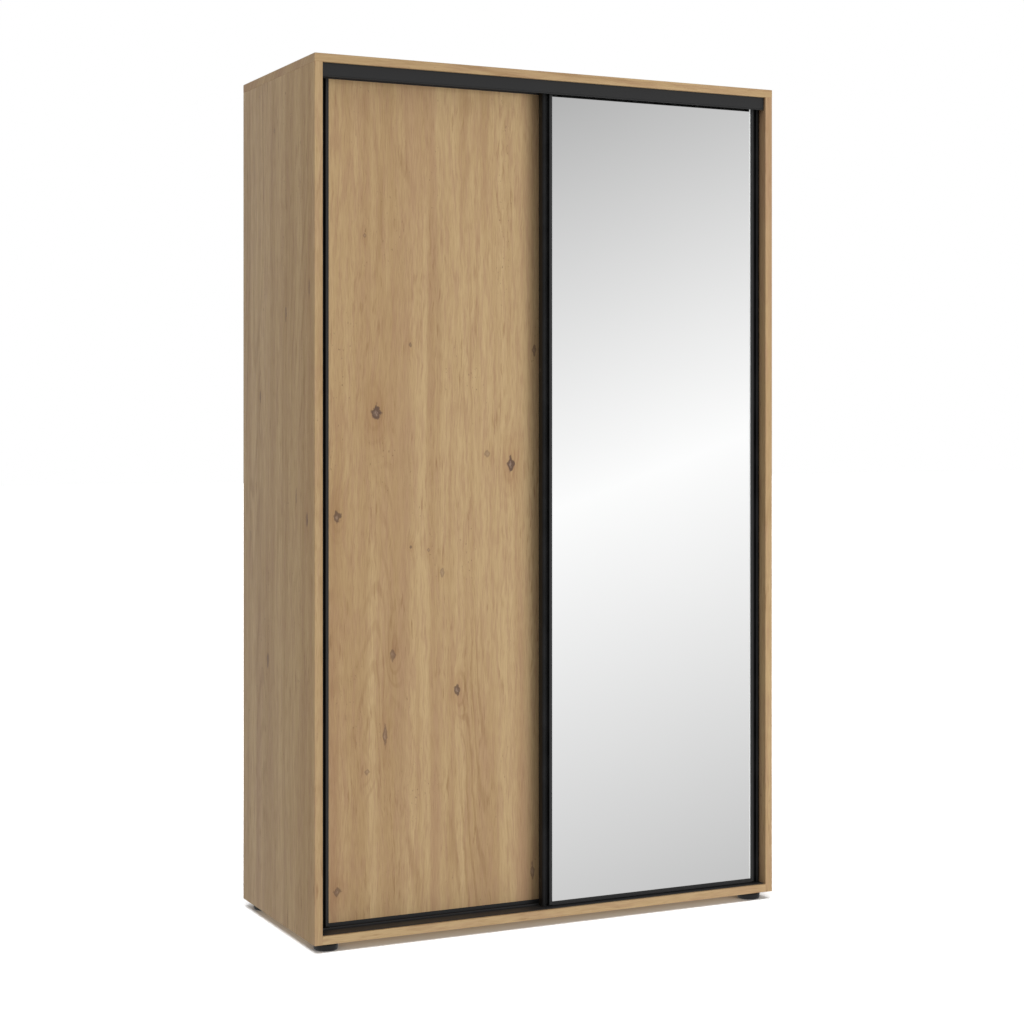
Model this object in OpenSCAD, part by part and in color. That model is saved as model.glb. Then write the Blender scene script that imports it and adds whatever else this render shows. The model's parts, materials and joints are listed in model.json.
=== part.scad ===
// Two-door sliding wardrobe: a board carcass on four glides, a double track above and below,
// a wood door on the rear lane and a mirror door on the front lane.
// X runs left to right, the front faces -Y, Z is up. The origin is on the floor under the middle.

/* [Carcass] */
// Overall width
width = 1200; // [1100:10:1400]
// Overall depth
depth = 500; // [460:10:650]
// Height of the carcass above its feet
carcass_h = 1980; // [1900:10:2200]
// Thickness of the outer boards
board = 19; // [18:1:22]
// Thickness of the partition and the shelves
inner_board = 16; // [16:1:18]
// Thickness of the back sheets
back_t = 3; // [3:1:4]
// Height of a foot
foot_h = 20; // [15:1:30]
// Diameter of a foot
foot_d = 55; // [40:1:60]
// Distance of a foot's centre from the two edges of its corner
foot_inset = 42; // [38:1:45]

/* [Doors] */
// Width of each door
door_w = 602; // [560:1:620]
// Depth of a door frame from front to back
door_depth = 22; // [22:1:24]
// Distance from the front edge of the carcass to the front door
front_recess = 25; // [22:1:30]
// Distance between the front faces of the two doors
door_pitch = 38; // [38:1:42]
// Brushed gap between the rear door and the left side when closed
left_gap = 13; // [12:1:16]
// Gap between the front door and the right side when closed
right_gap = 1; // [1:1:3]
// Face width of a stile
stile_w = 25; // [24:1:28]
// Width of the finger groove in a stile
grip_w = 7; // [6:1:8]
// Depth of the finger groove in a stile
grip_d = 7; // [5:1:8]
// Thickness of the mirror glass
mirror_t = 4; // [3:1:4]

/* [Tracks] */
// Height of the fascia of the top track
fascia_h = 31; // [28:1:40]
// Distance of the tracks behind the front edge of the carcass
track_setback = 7; // [5:1:12]
// Height of a running rib above the bottom track's base
rib_h = 4.3; // [4:0.1:5]
// Diameter of a door wheel over its flanges
wheel_d = 30; // [26:1:32]

/* [Inside] */
// Height of the hat shelf's underside above the floor
hat_shelf_z = 1650; // [1500:10:1700]
// Number of shelves in the right compartment
shelf_count = 4; // [4:1:4]
// Diameter of the shelf pins
pin_d = 5; // [5:1:6]
// Height of the hanging rail's centre below the hat shelf
rail_drop = 60; // [50:1:90]

/* [Hidden] */
$fn = 48;

// Carcass planes
half_w = width / 2;
front_y = -depth / 2;
back_y = depth / 2 - back_t;
inner_x = half_w - board;
floor_z = foot_h + board;
top_z = foot_h + carcass_h;
ceil_z = top_z - board;
half_part = inner_board / 2;

// Carcass fittings
cam_r = 7.5;
cam_h = 12;
cam_reach = 34;
cam_ys = [-110, 150];
dowel_r = 4;
dowel_l = 35;
dowel_in_face = 10;
dowel_ys = [-60, 195];
play = 0.05;
bolt_thread = [2.5, 11];
bolt_shank = [3.4, 24];
bolt_neck_r = 2;
bolt_head_r = 3.3;
foot_screw = [2.5, 14];
nail_r = 0.7;
nail_l = 15;
nail_head = [2, 0.6];
nail_pitch = 190;
sheet_edge = 2;

// Interior
partition_y = front_y + 104;
shelf_y = front_y + 112;
shelf_back = 1;
shelf_gap = 0.5;
pin_bore = 9;
pin_stand = 7;
pin_row = 32;
pin_ys = [shelf_y + 37, back_y - 37];
shelf_step = (hat_shelf_z - floor_z) / shelf_count;
rail_size = [15, 30];
rail_wall = 1.2;
rail_y = 50;
rail_z = hat_shelf_z - rail_drop;
rail_end_gap = 3;
cup_wall = 2;
cup_fit = 0.2;
cup_depth = 14;
plate_size = [24, 62];
plate_t = 2.5;
plate_hole = 23;

// Door section, measured from the door's front face
wall = 1.6;
edge_r = 2;
grip_x = 10;
nose_r = grip_x / 2;
stile_box = grip_x + grip_w + wall;
lip = 1.8;
core_front = 2;
core_t = 16;
core_back = core_front + core_t;
core_gap = 0.4;
door_z0 = floor_z + 2.2;
door_z1 = ceil_z - 18;
cap_t = 2;
cap_plug = 8;
bottom_rail_h = 9;
top_rail_h = 8;
core_z0 = door_z0 + 0.3 + wall + 0.3;
core_z1 = door_z1 - wall - 0.3;
door_x = [-inner_x + left_gap, inner_x - right_gap - door_w];
door_y = [front_y + front_recess + door_pitch, front_y + front_recess];
travel = [inner_x - right_gap - door_w - door_x[0], door_x[1] + inner_x - right_gap];
frame_screw = [2, 28];
frame_screw_head = [3.6, 2.5];
frame_screw_d = 12.5;
screw_access_r = frame_screw_head[0] + 1;
hole_plug_gap = 0.05;
frame_screw_zs = [for (k = [0:3]) door_z0 + 60 + k * (door_z1 - door_z0 - 120) / 3];

// Wheels and their brackets
track_base = 1.2;
strip_joint = 0.05;
rib_w = 3;
rib_top = floor_z + track_base + rib_h;
wheel_r = wheel_d / 2;
wheel_w = 7;
wheel_groove = [4, 2];
wheel_gap = 0.3;
wheel_y = 24;
wheel_z = rib_top + wheel_gap + wheel_r - wheel_groove[1];
wheel_inset = 75;
axle_r = 2.5;
axle_head = [4, 1.4];
bracket_y = core_back;
cheek_y = 28.5;
bracket_z0 = door_z0 + bottom_rail_h + 0.8;
bracket_half = 20;
cheek_half = 14;
bracket_h = 52;
bridge_z = wheel_z + wheel_r + 3;
bracket_screw = [1.75, 10.5];
bracket_screw_head = [3.4, 2.2];
bracket_screw_x = 13;

// Top guides
lane_w = door_depth + 4;
lane_wall = 1.5;
guide_inset = 45;
guide_r = lane_w / 2 - 0.3;
guide_t = 7;
guide_z = door_z1 + 3.5;
guide_block = [48, 18, 2.5];
guide_pin_r = 2;
guide_pin_head = [3.5, 1.2];
guide_screw = [1.75, 20];
guide_screw_head = [3.2, 2];
guide_screw_x = 18;

// Tracks
track_end_gap = 1;
track_l = 2 * (inner_x - track_end_gap);
web = 2;
fascia_t = 2;
fascia_step = [1.5, 3];
lane_h = ceil_z - door_z1 + 8;
lane_y = [for (y = door_y) y + door_depth / 2];
track_back = lane_y[0] + lane_w / 2 + lane_wall;
bottom_track_back = door_y[0] + wheel_y + 11;
bead = [1.2, 2];
track_screw = [2, 14];
track_screw_head = [3.5, 1.4];
track_screw_y = (door_y[1] + door_depth + door_y[0]) / 2 + 2;
track_screw_xs = [for (k = [-2:2]) k * (inner_x - 41) / 2];
stop_l = 20;
stop_h = ceil_z - web - (guide_z + 2);

// Brushes
brush_base = [10, 2];
brush_pile = [6, 10];
brush_margin = 20;

// Colours
oak = [0.72, 0.58, 0.42];
hdf = [0.62, 0.50, 0.38];
black = [0.14, 0.14, 0.14];
plastic = [0.08, 0.08, 0.08];
steel = [0.70, 0.71, 0.73];
zinc = [0.75, 0.74, 0.70];
glass = [0.82, 0.86, 0.88];
nylon = [0.90, 0.90, 0.86];
beech = [0.83, 0.68, 0.48];
raw_board = [0.66, 0.54, 0.38];

// ---- helpers ----

// A box from its lowest to its highest corner
module span(low, high) {
    translate(low) cube(high - low);
}

// A cylinder along +X from x0 to x1 at y, z
module rod_x(r, x0, x1, y, z) {
    translate([x0, y, z]) rotate([0, 90, 0]) cylinder(h = x1 - x0, r = r);
}

// A cylinder along +Y from y0 to y1 at x, z
module rod_y(r, y0, y1, x, z) {
    translate([x, y1, z]) rotate([90, 0, 0]) cylinder(h = y1 - y0, r = r);
}

// A cylinder along +Z from z0 to z1 at x, y
module rod_z(r, z0, z1, x, y) {
    translate([x, y, z0]) cylinder(h = z1 - z0, r = r);
}

// A rounded bar outline, centred, with its long side upright
module stadium(size) {
    r = size[0] / 2;
    square([size[0], size[1] - size[0]], center = true);
    for (s = [-1, 1]) translate([0, s * (size[1] / 2 - r)]) circle(r);
}

// The children on both sides of the middle plane
module both_sides() {
    for (s = [0, 1]) mirror([s, 0, 0]) children();
}

// ---- carcass joints: local +Z goes into the board that holds the cam, +X to its open face ----

module bottom_joints(ys) {
    for (y = ys) both_sides()
        translate([inner_x, y, foot_h + board / 2]) rotate([0, -90, 0]) rotate([0, 0, 180]) children();
}

module top_joints(ys) {
    for (y = ys) both_sides() translate([inner_x + board / 2, y, ceil_z]) rotate([0, 180, 0]) children();
}

module partition_joints(ys) {
    for (y = ys) {
        translate([0, y, ceil_z]) rotate([180, 0, 0]) children();
        translate([0, y, floor_z]) children();
    }
}

module cam_bores(t) {
    translate([t / 2 - cam_h - 0.5, 0, cam_reach]) rotate([0, 90, 0]) cylinder(h = cam_h + 1, r = cam_r + play);
    translate([0, 0, -bolt_thread[1] - 0.5]) cylinder(h = bolt_thread[1] + 1, r = bolt_thread[0] + play);
    cylinder(h = cam_reach, r = bolt_shank[0] + 0.5);
}

module dowel_bores() {
    translate([0, 0, -dowel_in_face - 0.5]) cylinder(h = dowel_l + 1, r = dowel_r + play);
}

module outer_bores() {
    bottom_joints(cam_ys) cam_bores(board);
    bottom_joints(dowel_ys) dowel_bores();
    top_joints(cam_ys) cam_bores(board);
    top_joints(dowel_ys) dowel_bores();
}

module partition_bores() {
    partition_joints(cam_ys) cam_bores(inner_board);
    partition_joints(dowel_ys) dowel_bores();
}

module cam(t) {
    difference() {
        translate([t / 2 - cam_h, 0, cam_reach]) rotate([0, 90, 0]) cylinder(h = cam_h, r = cam_r);
        translate([0, 0, cam_reach - cam_r - 1]) cylinder(h = cam_r + 3, r = bolt_head_r + 0.6);
        translate([t / 2 - 1.5, -5, cam_reach - 0.6]) cube([2, 10, 1.2]);
    }
}

module cam_bolt() {
    translate([0, 0, -bolt_thread[1]]) cylinder(h = bolt_thread[1], r = bolt_thread[0]);
    cylinder(h = bolt_shank[1], r = bolt_shank[0]);
    cylinder(h = cam_reach, r = bolt_neck_r);
    translate([0, 0, cam_reach - 3]) cylinder(h = 3.5, r = bolt_head_r);
}

// ---- shelf pins: dir +1 stands out of a face that looks towards +X ----

// Pin places of one shelf whose underside is at z, between the faces x0 and x1
module pin_places(x0, x1, z) {
    for (y = pin_ys) {
        translate([x0, y, z - pin_d / 2]) children();
        translate([x1, y, z - pin_d / 2]) mirror([1, 0, 0]) children();
    }
}

module shelf_pin() {
    translate([-pin_bore + 0.5, 0, 0]) rotate([0, 90, 0]) cylinder(h = pin_bore + pin_stand - 0.5, d = pin_d);
}

// The pin's own bore and one spare bore above and below it
module pin_bores() {
    for (k = [-1:1]) translate([-pin_bore, 0, k * pin_row])
        rotate([0, 90, 0]) cylinder(h = pin_bore + 1, d = pin_d + 2 * play);
}

module left_pin_places() {
    pin_places(-inner_x, -half_part, hat_shelf_z) children();
}

module right_pin_places() {
    for (k = [1:shelf_count]) pin_places(half_part, inner_x, floor_z + k * shelf_step) children();
}

// ---- hanging rail fittings ----

// Rail end places: local +X leads away from the face that holds the bracket
module rail_end_places() {
    translate([-inner_x, rail_y, rail_z]) children();
    translate([-half_part, rail_y, rail_z]) mirror([1, 0, 0]) children();
}

module upright_plate(size, x0, x1) {
    translate([x0, 0, 0]) rotate([90, 0, 90]) linear_extrude(height = x1 - x0) stadium(size);
}

module rail_screw(r, x0, x1) {
    for (s = [-1, 1]) rod_x(r, x0, x1, 0, s * plate_hole);
}

// ---- carcass parts ----

module foot_places() {
    for (x = [-1, 1], y = [-1, 1])
        translate([x * (half_w - foot_inset), y * (depth / 2 - foot_inset), 0]) children();
}

module side_panel() {
    span([inner_x, front_y, foot_h], [half_w, back_y, ceil_z]);
}

module side_panel_left() {
    color(oak) difference() {
        mirror([1, 0, 0]) side_panel();
        outer_bores();
        left_pin_places() pin_bores();
        rail_end_places() rail_screw(bracket_screw[0] + play, -bracket_screw[1] - 0.5, 1);
    }
}

module side_panel_right() {
    color(oak) difference() {
        side_panel();
        outer_bores();
        right_pin_places() pin_bores();
    }
}

module top_panel() {
    color(oak) difference() {
        span([-half_w, front_y, ceil_z], [half_w, back_y, top_z]);
        top_joints(cam_ys) cam_bores(board);
        top_joints(dowel_ys) dowel_bores();
        partition_bores();
        for (x = track_screw_xs)
            rod_z(track_screw[0] + play, ceil_z - 1, ceil_z + track_screw[1] + 0.5, x, top_screw_y());
    }
}

module bottom_panel() {
    color(oak) difference() {
        span([-inner_x, front_y, foot_h], [inner_x, back_y, floor_z]);
        bottom_joints(cam_ys) cam_bores(board);
        bottom_joints(dowel_ys) dowel_bores();
        partition_bores();
        foot_places() cylinder(h = foot_h + foot_screw[1] + 0.5, r = foot_screw[0] + play);
        for (x = track_screw_xs)
            rod_z(track_screw[0] + play, floor_z - track_screw[1] - 0.5, floor_z + 1, x, track_screw_y);
    }
}

module centre_partition() {
    color(oak) difference() {
        span([-half_part, partition_y, floor_z], [half_part, back_y, ceil_z]);
        partition_bores();
        left_pin_places() pin_bores();
        right_pin_places() pin_bores();
        rail_end_places() rail_screw(bracket_screw[0] + play, -bracket_screw[1] - 0.5, 1);
    }
}

module back_sheet(x0, x1) {
    color(hdf) span([x0, back_y, foot_h + sheet_edge], [x1, depth / 2, top_z - sheet_edge]);
}

module back_panel_left() {
    back_sheet(-half_w + sheet_edge, -0.5);
}

module back_panel_right() {
    back_sheet(0.5, half_w - sheet_edge);
}

module nail(x, z) {
    rod_y(nail_r, depth / 2 - nail_l, depth / 2, x, z);
    rod_y(nail_head[0], depth / 2 - nail_head[1], depth / 2, x, z);
}

module back_nails() {
    low = foot_h + board / 2;
    high = top_z - board / 2;
    rows = floor((high - low) / nail_pitch);
    columns = floor(inner_x / nail_pitch);
    color(steel) {
        for (x = [-half_w + board / 2, -half_part / 2 - 1, half_part / 2 + 1, half_w - board / 2], k = [0:rows])
            nail(x, low + k * (high - low) / rows);
        for (s = [-1, 1], k = [1:columns - 1], z = [low, high]) nail(s * k * inner_x / columns, z);
    }
}

module shelf(x0, x1, z) {
    color(oak) span([x0 + shelf_gap, shelf_y, z], [x1 - shelf_gap, back_y - shelf_back, z + inner_board]);
}

module hat_shelf() {
    shelf(-inner_x, -half_part, hat_shelf_z);
}

module right_shelf(k) {
    shelf(half_part, inner_x, floor_z + k * shelf_step);
}

module shelf_1() {
    right_shelf(1);
}

module shelf_2() {
    right_shelf(2);
}

module shelf_3() {
    right_shelf(3);
}

module shelf_4() {
    right_shelf(4);
}

module shelf_pins() {
    color(steel) {
        left_pin_places() shelf_pin();
        right_pin_places() shelf_pin();
    }
}

module hanging_rail() {
    color(steel) translate([-inner_x + rail_end_gap, rail_y, rail_z]) rotate([90, 0, 90])
        linear_extrude(height = inner_x - half_part - 2 * rail_end_gap) difference() {
            stadium(rail_size);
            stadium(rail_size - 2 * [rail_wall, rail_wall]);
        }
}

module rail_brackets() {
    hollow = rail_size + 2 * [cup_fit, cup_fit];
    color(steel) rail_end_places() difference() {
        union() {
            upright_plate(plate_size, 0, plate_t);
            upright_plate(hollow + 2 * [cup_wall, cup_wall], 0, cup_depth);
        }
        upright_plate(hollow, plate_t, cup_depth + 1);
        rail_screw(bracket_screw[0] + play, -1, plate_t + 1);
    }
}

module foot() {
    r = foot_d / 2;
    color(plastic) rotate_extrude() polygon([
        [foot_screw[0] + play, 9], [7, 9], [7, 0], [r - 3, 0], [r - 1.2, 0.8], [r, 3],
        [r, foot_h - 7], [r - 1.5, foot_h - 5.5], [r - 1.5, foot_h], [foot_screw[0] + play, foot_h]
    ]);
}

module foot_at(x, y) {
    translate([x * (half_w - foot_inset), y * (depth / 2 - foot_inset), 0]) foot();
}

module foot_front_left() {
    foot_at(-1, -1);
}

module foot_front_right() {
    foot_at(1, -1);
}

module foot_back_left() {
    foot_at(-1, 1);
}

module foot_back_right() {
    foot_at(1, 1);
}

module cam_locks() {
    color(zinc) {
        bottom_joints(cam_ys) cam(board);
        top_joints(cam_ys) cam(board);
        partition_joints(cam_ys) cam(inner_board);
    }
}

module cam_bolts() {
    color(steel) {
        bottom_joints(cam_ys) cam_bolt();
        top_joints(cam_ys) cam_bolt();
        partition_joints(cam_ys) cam_bolt();
    }
}

module dowel() {
    translate([0, 0, -dowel_in_face]) cylinder(h = dowel_l, r = dowel_r);
}

module dowels() {
    color(beech) {
        bottom_joints(dowel_ys) dowel();
        top_joints(dowel_ys) dowel();
        partition_joints(dowel_ys) dowel();
    }
}

// The screws of the four feet and of the two rail brackets
module carcass_screws() {
    color(steel) {
        foot_places() {
            rod_z(foot_screw[0], 9, foot_h + foot_screw[1], 0, 0);
            rod_z(5, 6, 9, 0, 0);
        }
        rail_end_places() {
            rail_screw(bracket_screw[0], -bracket_screw[1], plate_t);
            rail_screw(bracket_screw_head[0], plate_t, plate_t + bracket_screw_head[1]);
        }
    }
}

// ---- tracks ----

function top_screw_y() = (lane_y[0] + lane_y[1]) / 2;

// Sections of the top track, drawn from the front edge and the ceiling: x is depth, y is height.
// The web carries a fascia and the guide walls of two lanes, each clipped on with a hairline joint.
module web_section() {
    translate([track_setback, -web]) square([track_back - front_y - track_setback, web]);
}

module fascia_section() {
    translate([track_setback, -fascia_h + fascia_step[1]])
        square([fascia_t, fascia_h - fascia_step[1] - web - strip_joint]);
    translate([track_setback + fascia_step[0], -fascia_h]) square([fascia_t, fascia_step[1] + 1]);
}

module lane_wall_sections() {
    for (y = lane_y, s = [-1, 1])
        translate([y - front_y + s * (lane_w + lane_wall) / 2 - lane_wall / 2, -lane_h])
            square([lane_wall, lane_h - web - strip_joint]);
}

module track_extrusion(z) {
    translate([-track_l / 2, front_y, z]) rotate([90, 0, 90]) linear_extrude(height = track_l) children();
}

module top_track() {
    color(black) {
        difference() {
            track_extrusion(ceil_z) web_section();
            for (x = track_screw_xs)
                rod_z(track_screw[0] + play, ceil_z - 5, ceil_z + 1, x, top_screw_y());
        }
        track_extrusion(ceil_z) fascia_section();
        track_extrusion(ceil_z) lane_wall_sections();
    }
}

// Sections of the bottom track: a sill strip with a bead at each edge, and two running ribs on it
module sill_section() {
    back = bottom_track_back - front_y;
    translate([track_setback, 0]) square([back - track_setback, track_base]);
    for (x = [track_setback, back - bead[0]]) translate([x, 0]) square(bead);
}

module rib_sections() {
    rib_base = track_base + strip_joint;
    round_z = track_base + rib_h - rib_w / 2;
    for (y = door_y) translate([y + wheel_y - front_y, 0]) {
        translate([-rib_w / 2, rib_base]) square([rib_w, round_z - rib_base]);
        translate([0, round_z]) circle(rib_w / 2);
    }
}

module bottom_track() {
    color(black) {
        difference() {
            track_extrusion(floor_z) sill_section();
            for (x = track_screw_xs)
                rod_z(track_screw[0] + play, floor_z - 1, floor_z + 5, x, track_screw_y);
        }
        track_extrusion(floor_z) rib_sections();
    }
}

module track_screws() {
    base_z = floor_z + track_base;
    web_z = ceil_z - web;
    color(steel) for (x = track_screw_xs) {
        rod_z(track_screw[0], floor_z - track_screw[1], base_z, x, track_screw_y);
        rod_z(track_screw_head[0], base_z, base_z + track_screw_head[1], x, track_screw_y);
        rod_z(track_screw[0], web_z, ceil_z + track_screw[1], x, top_screw_y());
        rod_z(track_screw_head[0], web_z - track_screw_head[1], web_z, x, top_screw_y());
    }
}

// A buffer at each end of each lane, where the door's guide roller arrives
module track_stops() {
    reach = guide_r + 0.3;
    color(plastic) for (d = [0, 1]) {
        closed = door_x[d];
        low = (d == 0 ? closed : closed - travel[1]) + guide_inset - reach;
        high = (d == 0 ? closed + travel[0] : closed) + door_w - guide_inset + reach;
        for (x = [low - stop_l, high])
            span([x, lane_y[d] - lane_w / 2 + 0.2, ceil_z - web - stop_h],
                 [x + stop_l, lane_y[d] + lane_w / 2 - 0.2, ceil_z - web]);
    }
}

// ---- doors: d is 0 for the rear, left door and 1 for the front, right door ----

module in_door(d) {
    translate([door_x[d], door_y[d], 0]) children();
}

// The children at the left and mirrored at the right of a door
module door_ends() {
    children();
    translate([door_w, 0, 0]) mirror([1, 0, 0]) children();
}

// Solid outline of the stile: an outer bar with a half-round nose, the finger groove beside it and
// the box behind it
module stile_outline() {
    translate([nose_r, nose_r]) circle(nose_r);
    translate([0, nose_r]) square([grip_x, door_depth - nose_r - edge_r]);
    translate([edge_r, door_depth - edge_r]) circle(edge_r);
    translate([edge_r, grip_d]) square([stile_box - edge_r, door_depth - grip_d]);
    translate([stile_box - wall, 0]) square([wall, door_depth]);
}

module stile_hollow(shrink) {
    inset = wall + shrink;
    deep = grip_d + inset;
    translate([inset, nose_r]) square([grip_x - 2 * inset, door_depth - nose_r - inset]);
    translate([inset, deep]) square([stile_box - 2 * inset, door_depth - deep - inset]);
}

// Section of a stile: the outline with its lip and the flange behind the door's core
module stile_section() {
    difference() {
        union() {
            stile_outline();
            translate([stile_box - wall, 0]) square([stile_w - stile_box + wall, lip]);
            translate([stile_box - wall, core_back + 0.2]) square([stile_w - stile_box + wall, wall]);
        }
        stile_hollow(0);
    }
}

module stile_bores() {
    for (z = frame_screw_zs) {
        rod_x(frame_screw[0] + play, stile_box - wall - 1, stile_box + 1, frame_screw_d, z);
        rod_x(screw_access_r, -1, wall + 1, frame_screw_d, z);
    }
}

module stile() {
    color(black) difference() {
        translate([0, 0, door_z0 + cap_t]) linear_extrude(height = door_z1 - door_z0 - 2 * cap_t)
            stile_section();
        stile_bores();
    }
}

module stile_left(d) {
    in_door(d) stile();
}

module stile_right(d) {
    in_door(d) translate([door_w, 0, 0]) mirror([1, 0, 0]) stile();
}

// The closing plate of a stile's end, with the plug that holds it in the hollow
module end_cap() {
    linear_extrude(height = cap_t) stile_outline();
    translate([0, 0, cap_t - 0.5]) linear_extrude(height = cap_plug) stile_hollow(0.1);
}

// The plugs that close the access holes of the frame screws, flush with the stile's outer side
module hole_plugs() {
    for (z = frame_screw_zs) rod_x(screw_access_r - hole_plug_gap, 0, wall, frame_screw_d, z);
}

module end_caps(d) {
    color(plastic) in_door(d) door_ends() {
        translate([0, 0, door_z0]) end_cap();
        translate([0, 0, door_z1]) mirror([0, 0, 1]) end_cap();
        hole_plugs();
    }
}

// A channel along the core's edge; z0 is the outer face of its web and dir points to the core
module edge_channel(z0, dir, h) {
    y0 = core_front - lip;
    y1 = core_back + 0.2 + wall;
    translate([stile_w, 0, z0]) mirror([0, 0, dir < 0 ? 1 : 0]) {
        translate([0, y0, 0]) cube([door_w - 2 * stile_w, y1 - y0, wall]);
        translate([0, y0, 0]) cube([door_w - 2 * stile_w, wall, h]);
        translate([0, y1 - wall, 0]) cube([door_w - 2 * stile_w, wall, h]);
    }
}

module bottom_rail(d) {
    color(black) in_door(d) edge_channel(door_z0 + 0.3, 1, bottom_rail_h);
}

module top_rail(d) {
    color(black) in_door(d) difference() {
        edge_channel(door_z1, -1, top_rail_h);
        guide_places() guide_screw_rods(guide_screw[0] + play, -4, 1);
    }
}

// The door's core between the depths y0 and y1, with the bores of its screws
module core(y0, y1) {
    difference() {
        span([stile_box + core_gap, y0, core_z0], [door_w - stile_box - core_gap, y1, core_z1]);
        door_ends() for (z = frame_screw_zs)
            rod_x(frame_screw[0] + play, stile_box, stile_box - wall + frame_screw[1] + 1, frame_screw_d, z);
        wheel_places() bracket_screw_rods(bracket_screw[0] + play, -bracket_screw[1] - 0.5, 1);
        guide_places() guide_screw_rods(guide_screw[0] + play, -guide_screw[1] - 0.5, 1);
    }
}

module screws(d) {
    color(steel) in_door(d) {
        door_ends() for (z = frame_screw_zs) {
            inner = stile_box - wall;
            rod_x(frame_screw[0], inner, inner + frame_screw[1], frame_screw_d, z);
            rod_x(frame_screw_head[0], inner - frame_screw_head[1], inner, frame_screw_d, z);
        }
        wheel_places() {
            bracket_screw_rods(bracket_screw[0], -bracket_screw[1], wall);
            bracket_screw_rods(bracket_screw_head[0], wall, wall + bracket_screw_head[1]);
        }
        guide_places() {
            guide_screw_rods(guide_screw[0], -guide_screw[1], guide_block[2]);
            guide_screw_rods(guide_screw_head[0], guide_block[2], guide_block[2] + guide_screw_head[1]);
        }
    }
}

// Wheel places in a door: the origin is on the core's back face, below the wheel
module wheel_places() {
    for (x = [wheel_inset, door_w - wheel_inset]) translate([x, bracket_y, 0]) children();
}

module bracket_screw_rods(r, y0, y1) {
    for (s = [-1, 1]) rod_y(r, y0, y1, s * bracket_screw_x, bracket_z0 + bracket_h - 9);
}

// A bent steel bracket: a plate on the door's back, a bridge over the wheel and an outer cheek
module roller_brackets(d) {
    y1 = cheek_y - bracket_y + wall;
    color(zinc) in_door(d) wheel_places() difference() {
        union() {
            span([-bracket_half, 0, bracket_z0], [bracket_half, wall, bracket_z0 + bracket_h]);
            span([-cheek_half, 0, bridge_z], [cheek_half, y1, bridge_z + wall]);
            span([-cheek_half, y1 - wall, bracket_z0], [cheek_half, y1, bridge_z + wall]);
        }
        rod_y(axle_r + 0.02, -1, y1 + 1, 0, wheel_z);
        bracket_screw_rods(bracket_screw[0] + play, -1, wall + 1);
    }
}

// The wheels' axles and the guide rollers' pins
module axles(d) {
    y1 = cheek_y - bracket_y + wall;
    color(steel) in_door(d) {
        wheel_places() {
            rod_y(axle_r, 0, y1, 0, wheel_z);
            rod_y(axle_head[0], y1, y1 + axle_head[1], 0, wheel_z);
        }
        guide_places() {
            rod_z(guide_pin_r, 0, guide_z - door_z1 + guide_t + 0.5, 0, 0);
            translate([0, 0, guide_z - door_z1 + guide_t + 0.5])
                cylinder(h = guide_pin_head[1], r = guide_pin_head[0]);
        }
    }
}

// A grooved nylon wheel with flanges that straddle the rib
module wheel(d, x) {
    groove = wheel_groove[0] / 2;
    core_r = wheel_r - wheel_groove[1];
    half = wheel_w / 2;
    color(nylon) in_door(d) translate([x, wheel_y, wheel_z]) rotate([90, 0, 0]) rotate_extrude() polygon([
        [axle_r + play, -half], [wheel_r, -half], [wheel_r, -groove - 0.3], [core_r, -groove],
        [core_r, groove], [wheel_r, groove + 0.3], [wheel_r, half], [axle_r + play, half]
    ]);
}

// Guide places in a door: the origin is on top of the door, over the middle of its depth
module guide_places() {
    for (x = [guide_inset, door_w - guide_inset]) translate([x, door_depth / 2, door_z1]) children();
}

module guide_screw_rods(r, z0, z1) {
    for (s = [-1, 1]) rod_z(r, z0, z1, s * guide_screw_x, 1);
}

module guide_blocks(d) {
    color(plastic) in_door(d) guide_places() difference() {
        translate([-guide_block[0] / 2, -guide_block[1] / 2, 0]) cube(guide_block);
        rod_z(guide_pin_r + 0.02, -1, guide_block[2] + 1, 0, 0);
        guide_screw_rods(guide_screw[0] + play, -1, guide_block[2] + 1);
    }
}

module guide_roller(d, x) {
    color(nylon) in_door(d) translate([x, door_depth / 2, guide_z]) rotate_extrude() polygon([
        [guide_pin_r + play, 0], [guide_r - 0.8, 0], [guide_r, 0.8],
        [guide_r, guide_t - 0.8], [guide_r - 0.8, guide_t], [guide_pin_r + play, guide_t]
    ]);
}

module left_door_panel() {
    color(oak) in_door(0) core(core_front, core_back);
}

module right_door_mirror() {
    color(glass) in_door(1) span([stile_box + core_gap, core_front, core_z0],
                                 [door_w - stile_box - core_gap, core_front + mirror_t, core_z1]);
}

module right_door_backing() {
    color(raw_board) in_door(1) core(core_front + mirror_t, core_back);
}

// Seals the gap between the closed rear door and the left side
module left_door_brush() {
    y = door_depth / 2;
    z0 = door_z0 + brush_margin;
    z1 = door_z1 - brush_margin;
    color(plastic) in_door(0) {
        span([-brush_base[1], y - brush_base[0] / 2, z0], [0, y + brush_base[0] / 2, z1]);
        span([-brush_base[1] - brush_pile[1] + 0.5, y - brush_pile[0] / 2, z0],
             [-brush_base[1] + 0.5, y + brush_pile[0] / 2, z1]);
    }
}

// Seals the gap between the two doors where they overlap
module right_door_brush() {
    x = stile_box / 2;
    z0 = door_z0 + brush_margin;
    z1 = door_z1 - brush_margin;
    color(plastic) in_door(1) {
        span([x - brush_base[0] / 2, door_depth, z0], [x + brush_base[0] / 2, door_depth + brush_base[1], z1]);
        span([x - brush_pile[0] / 2, door_depth + brush_base[1] - 0.5, z0],
             [x + brush_pile[0] / 2, door_depth + brush_base[1] + brush_pile[1] - 0.5, z1]);
    }
}

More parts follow.
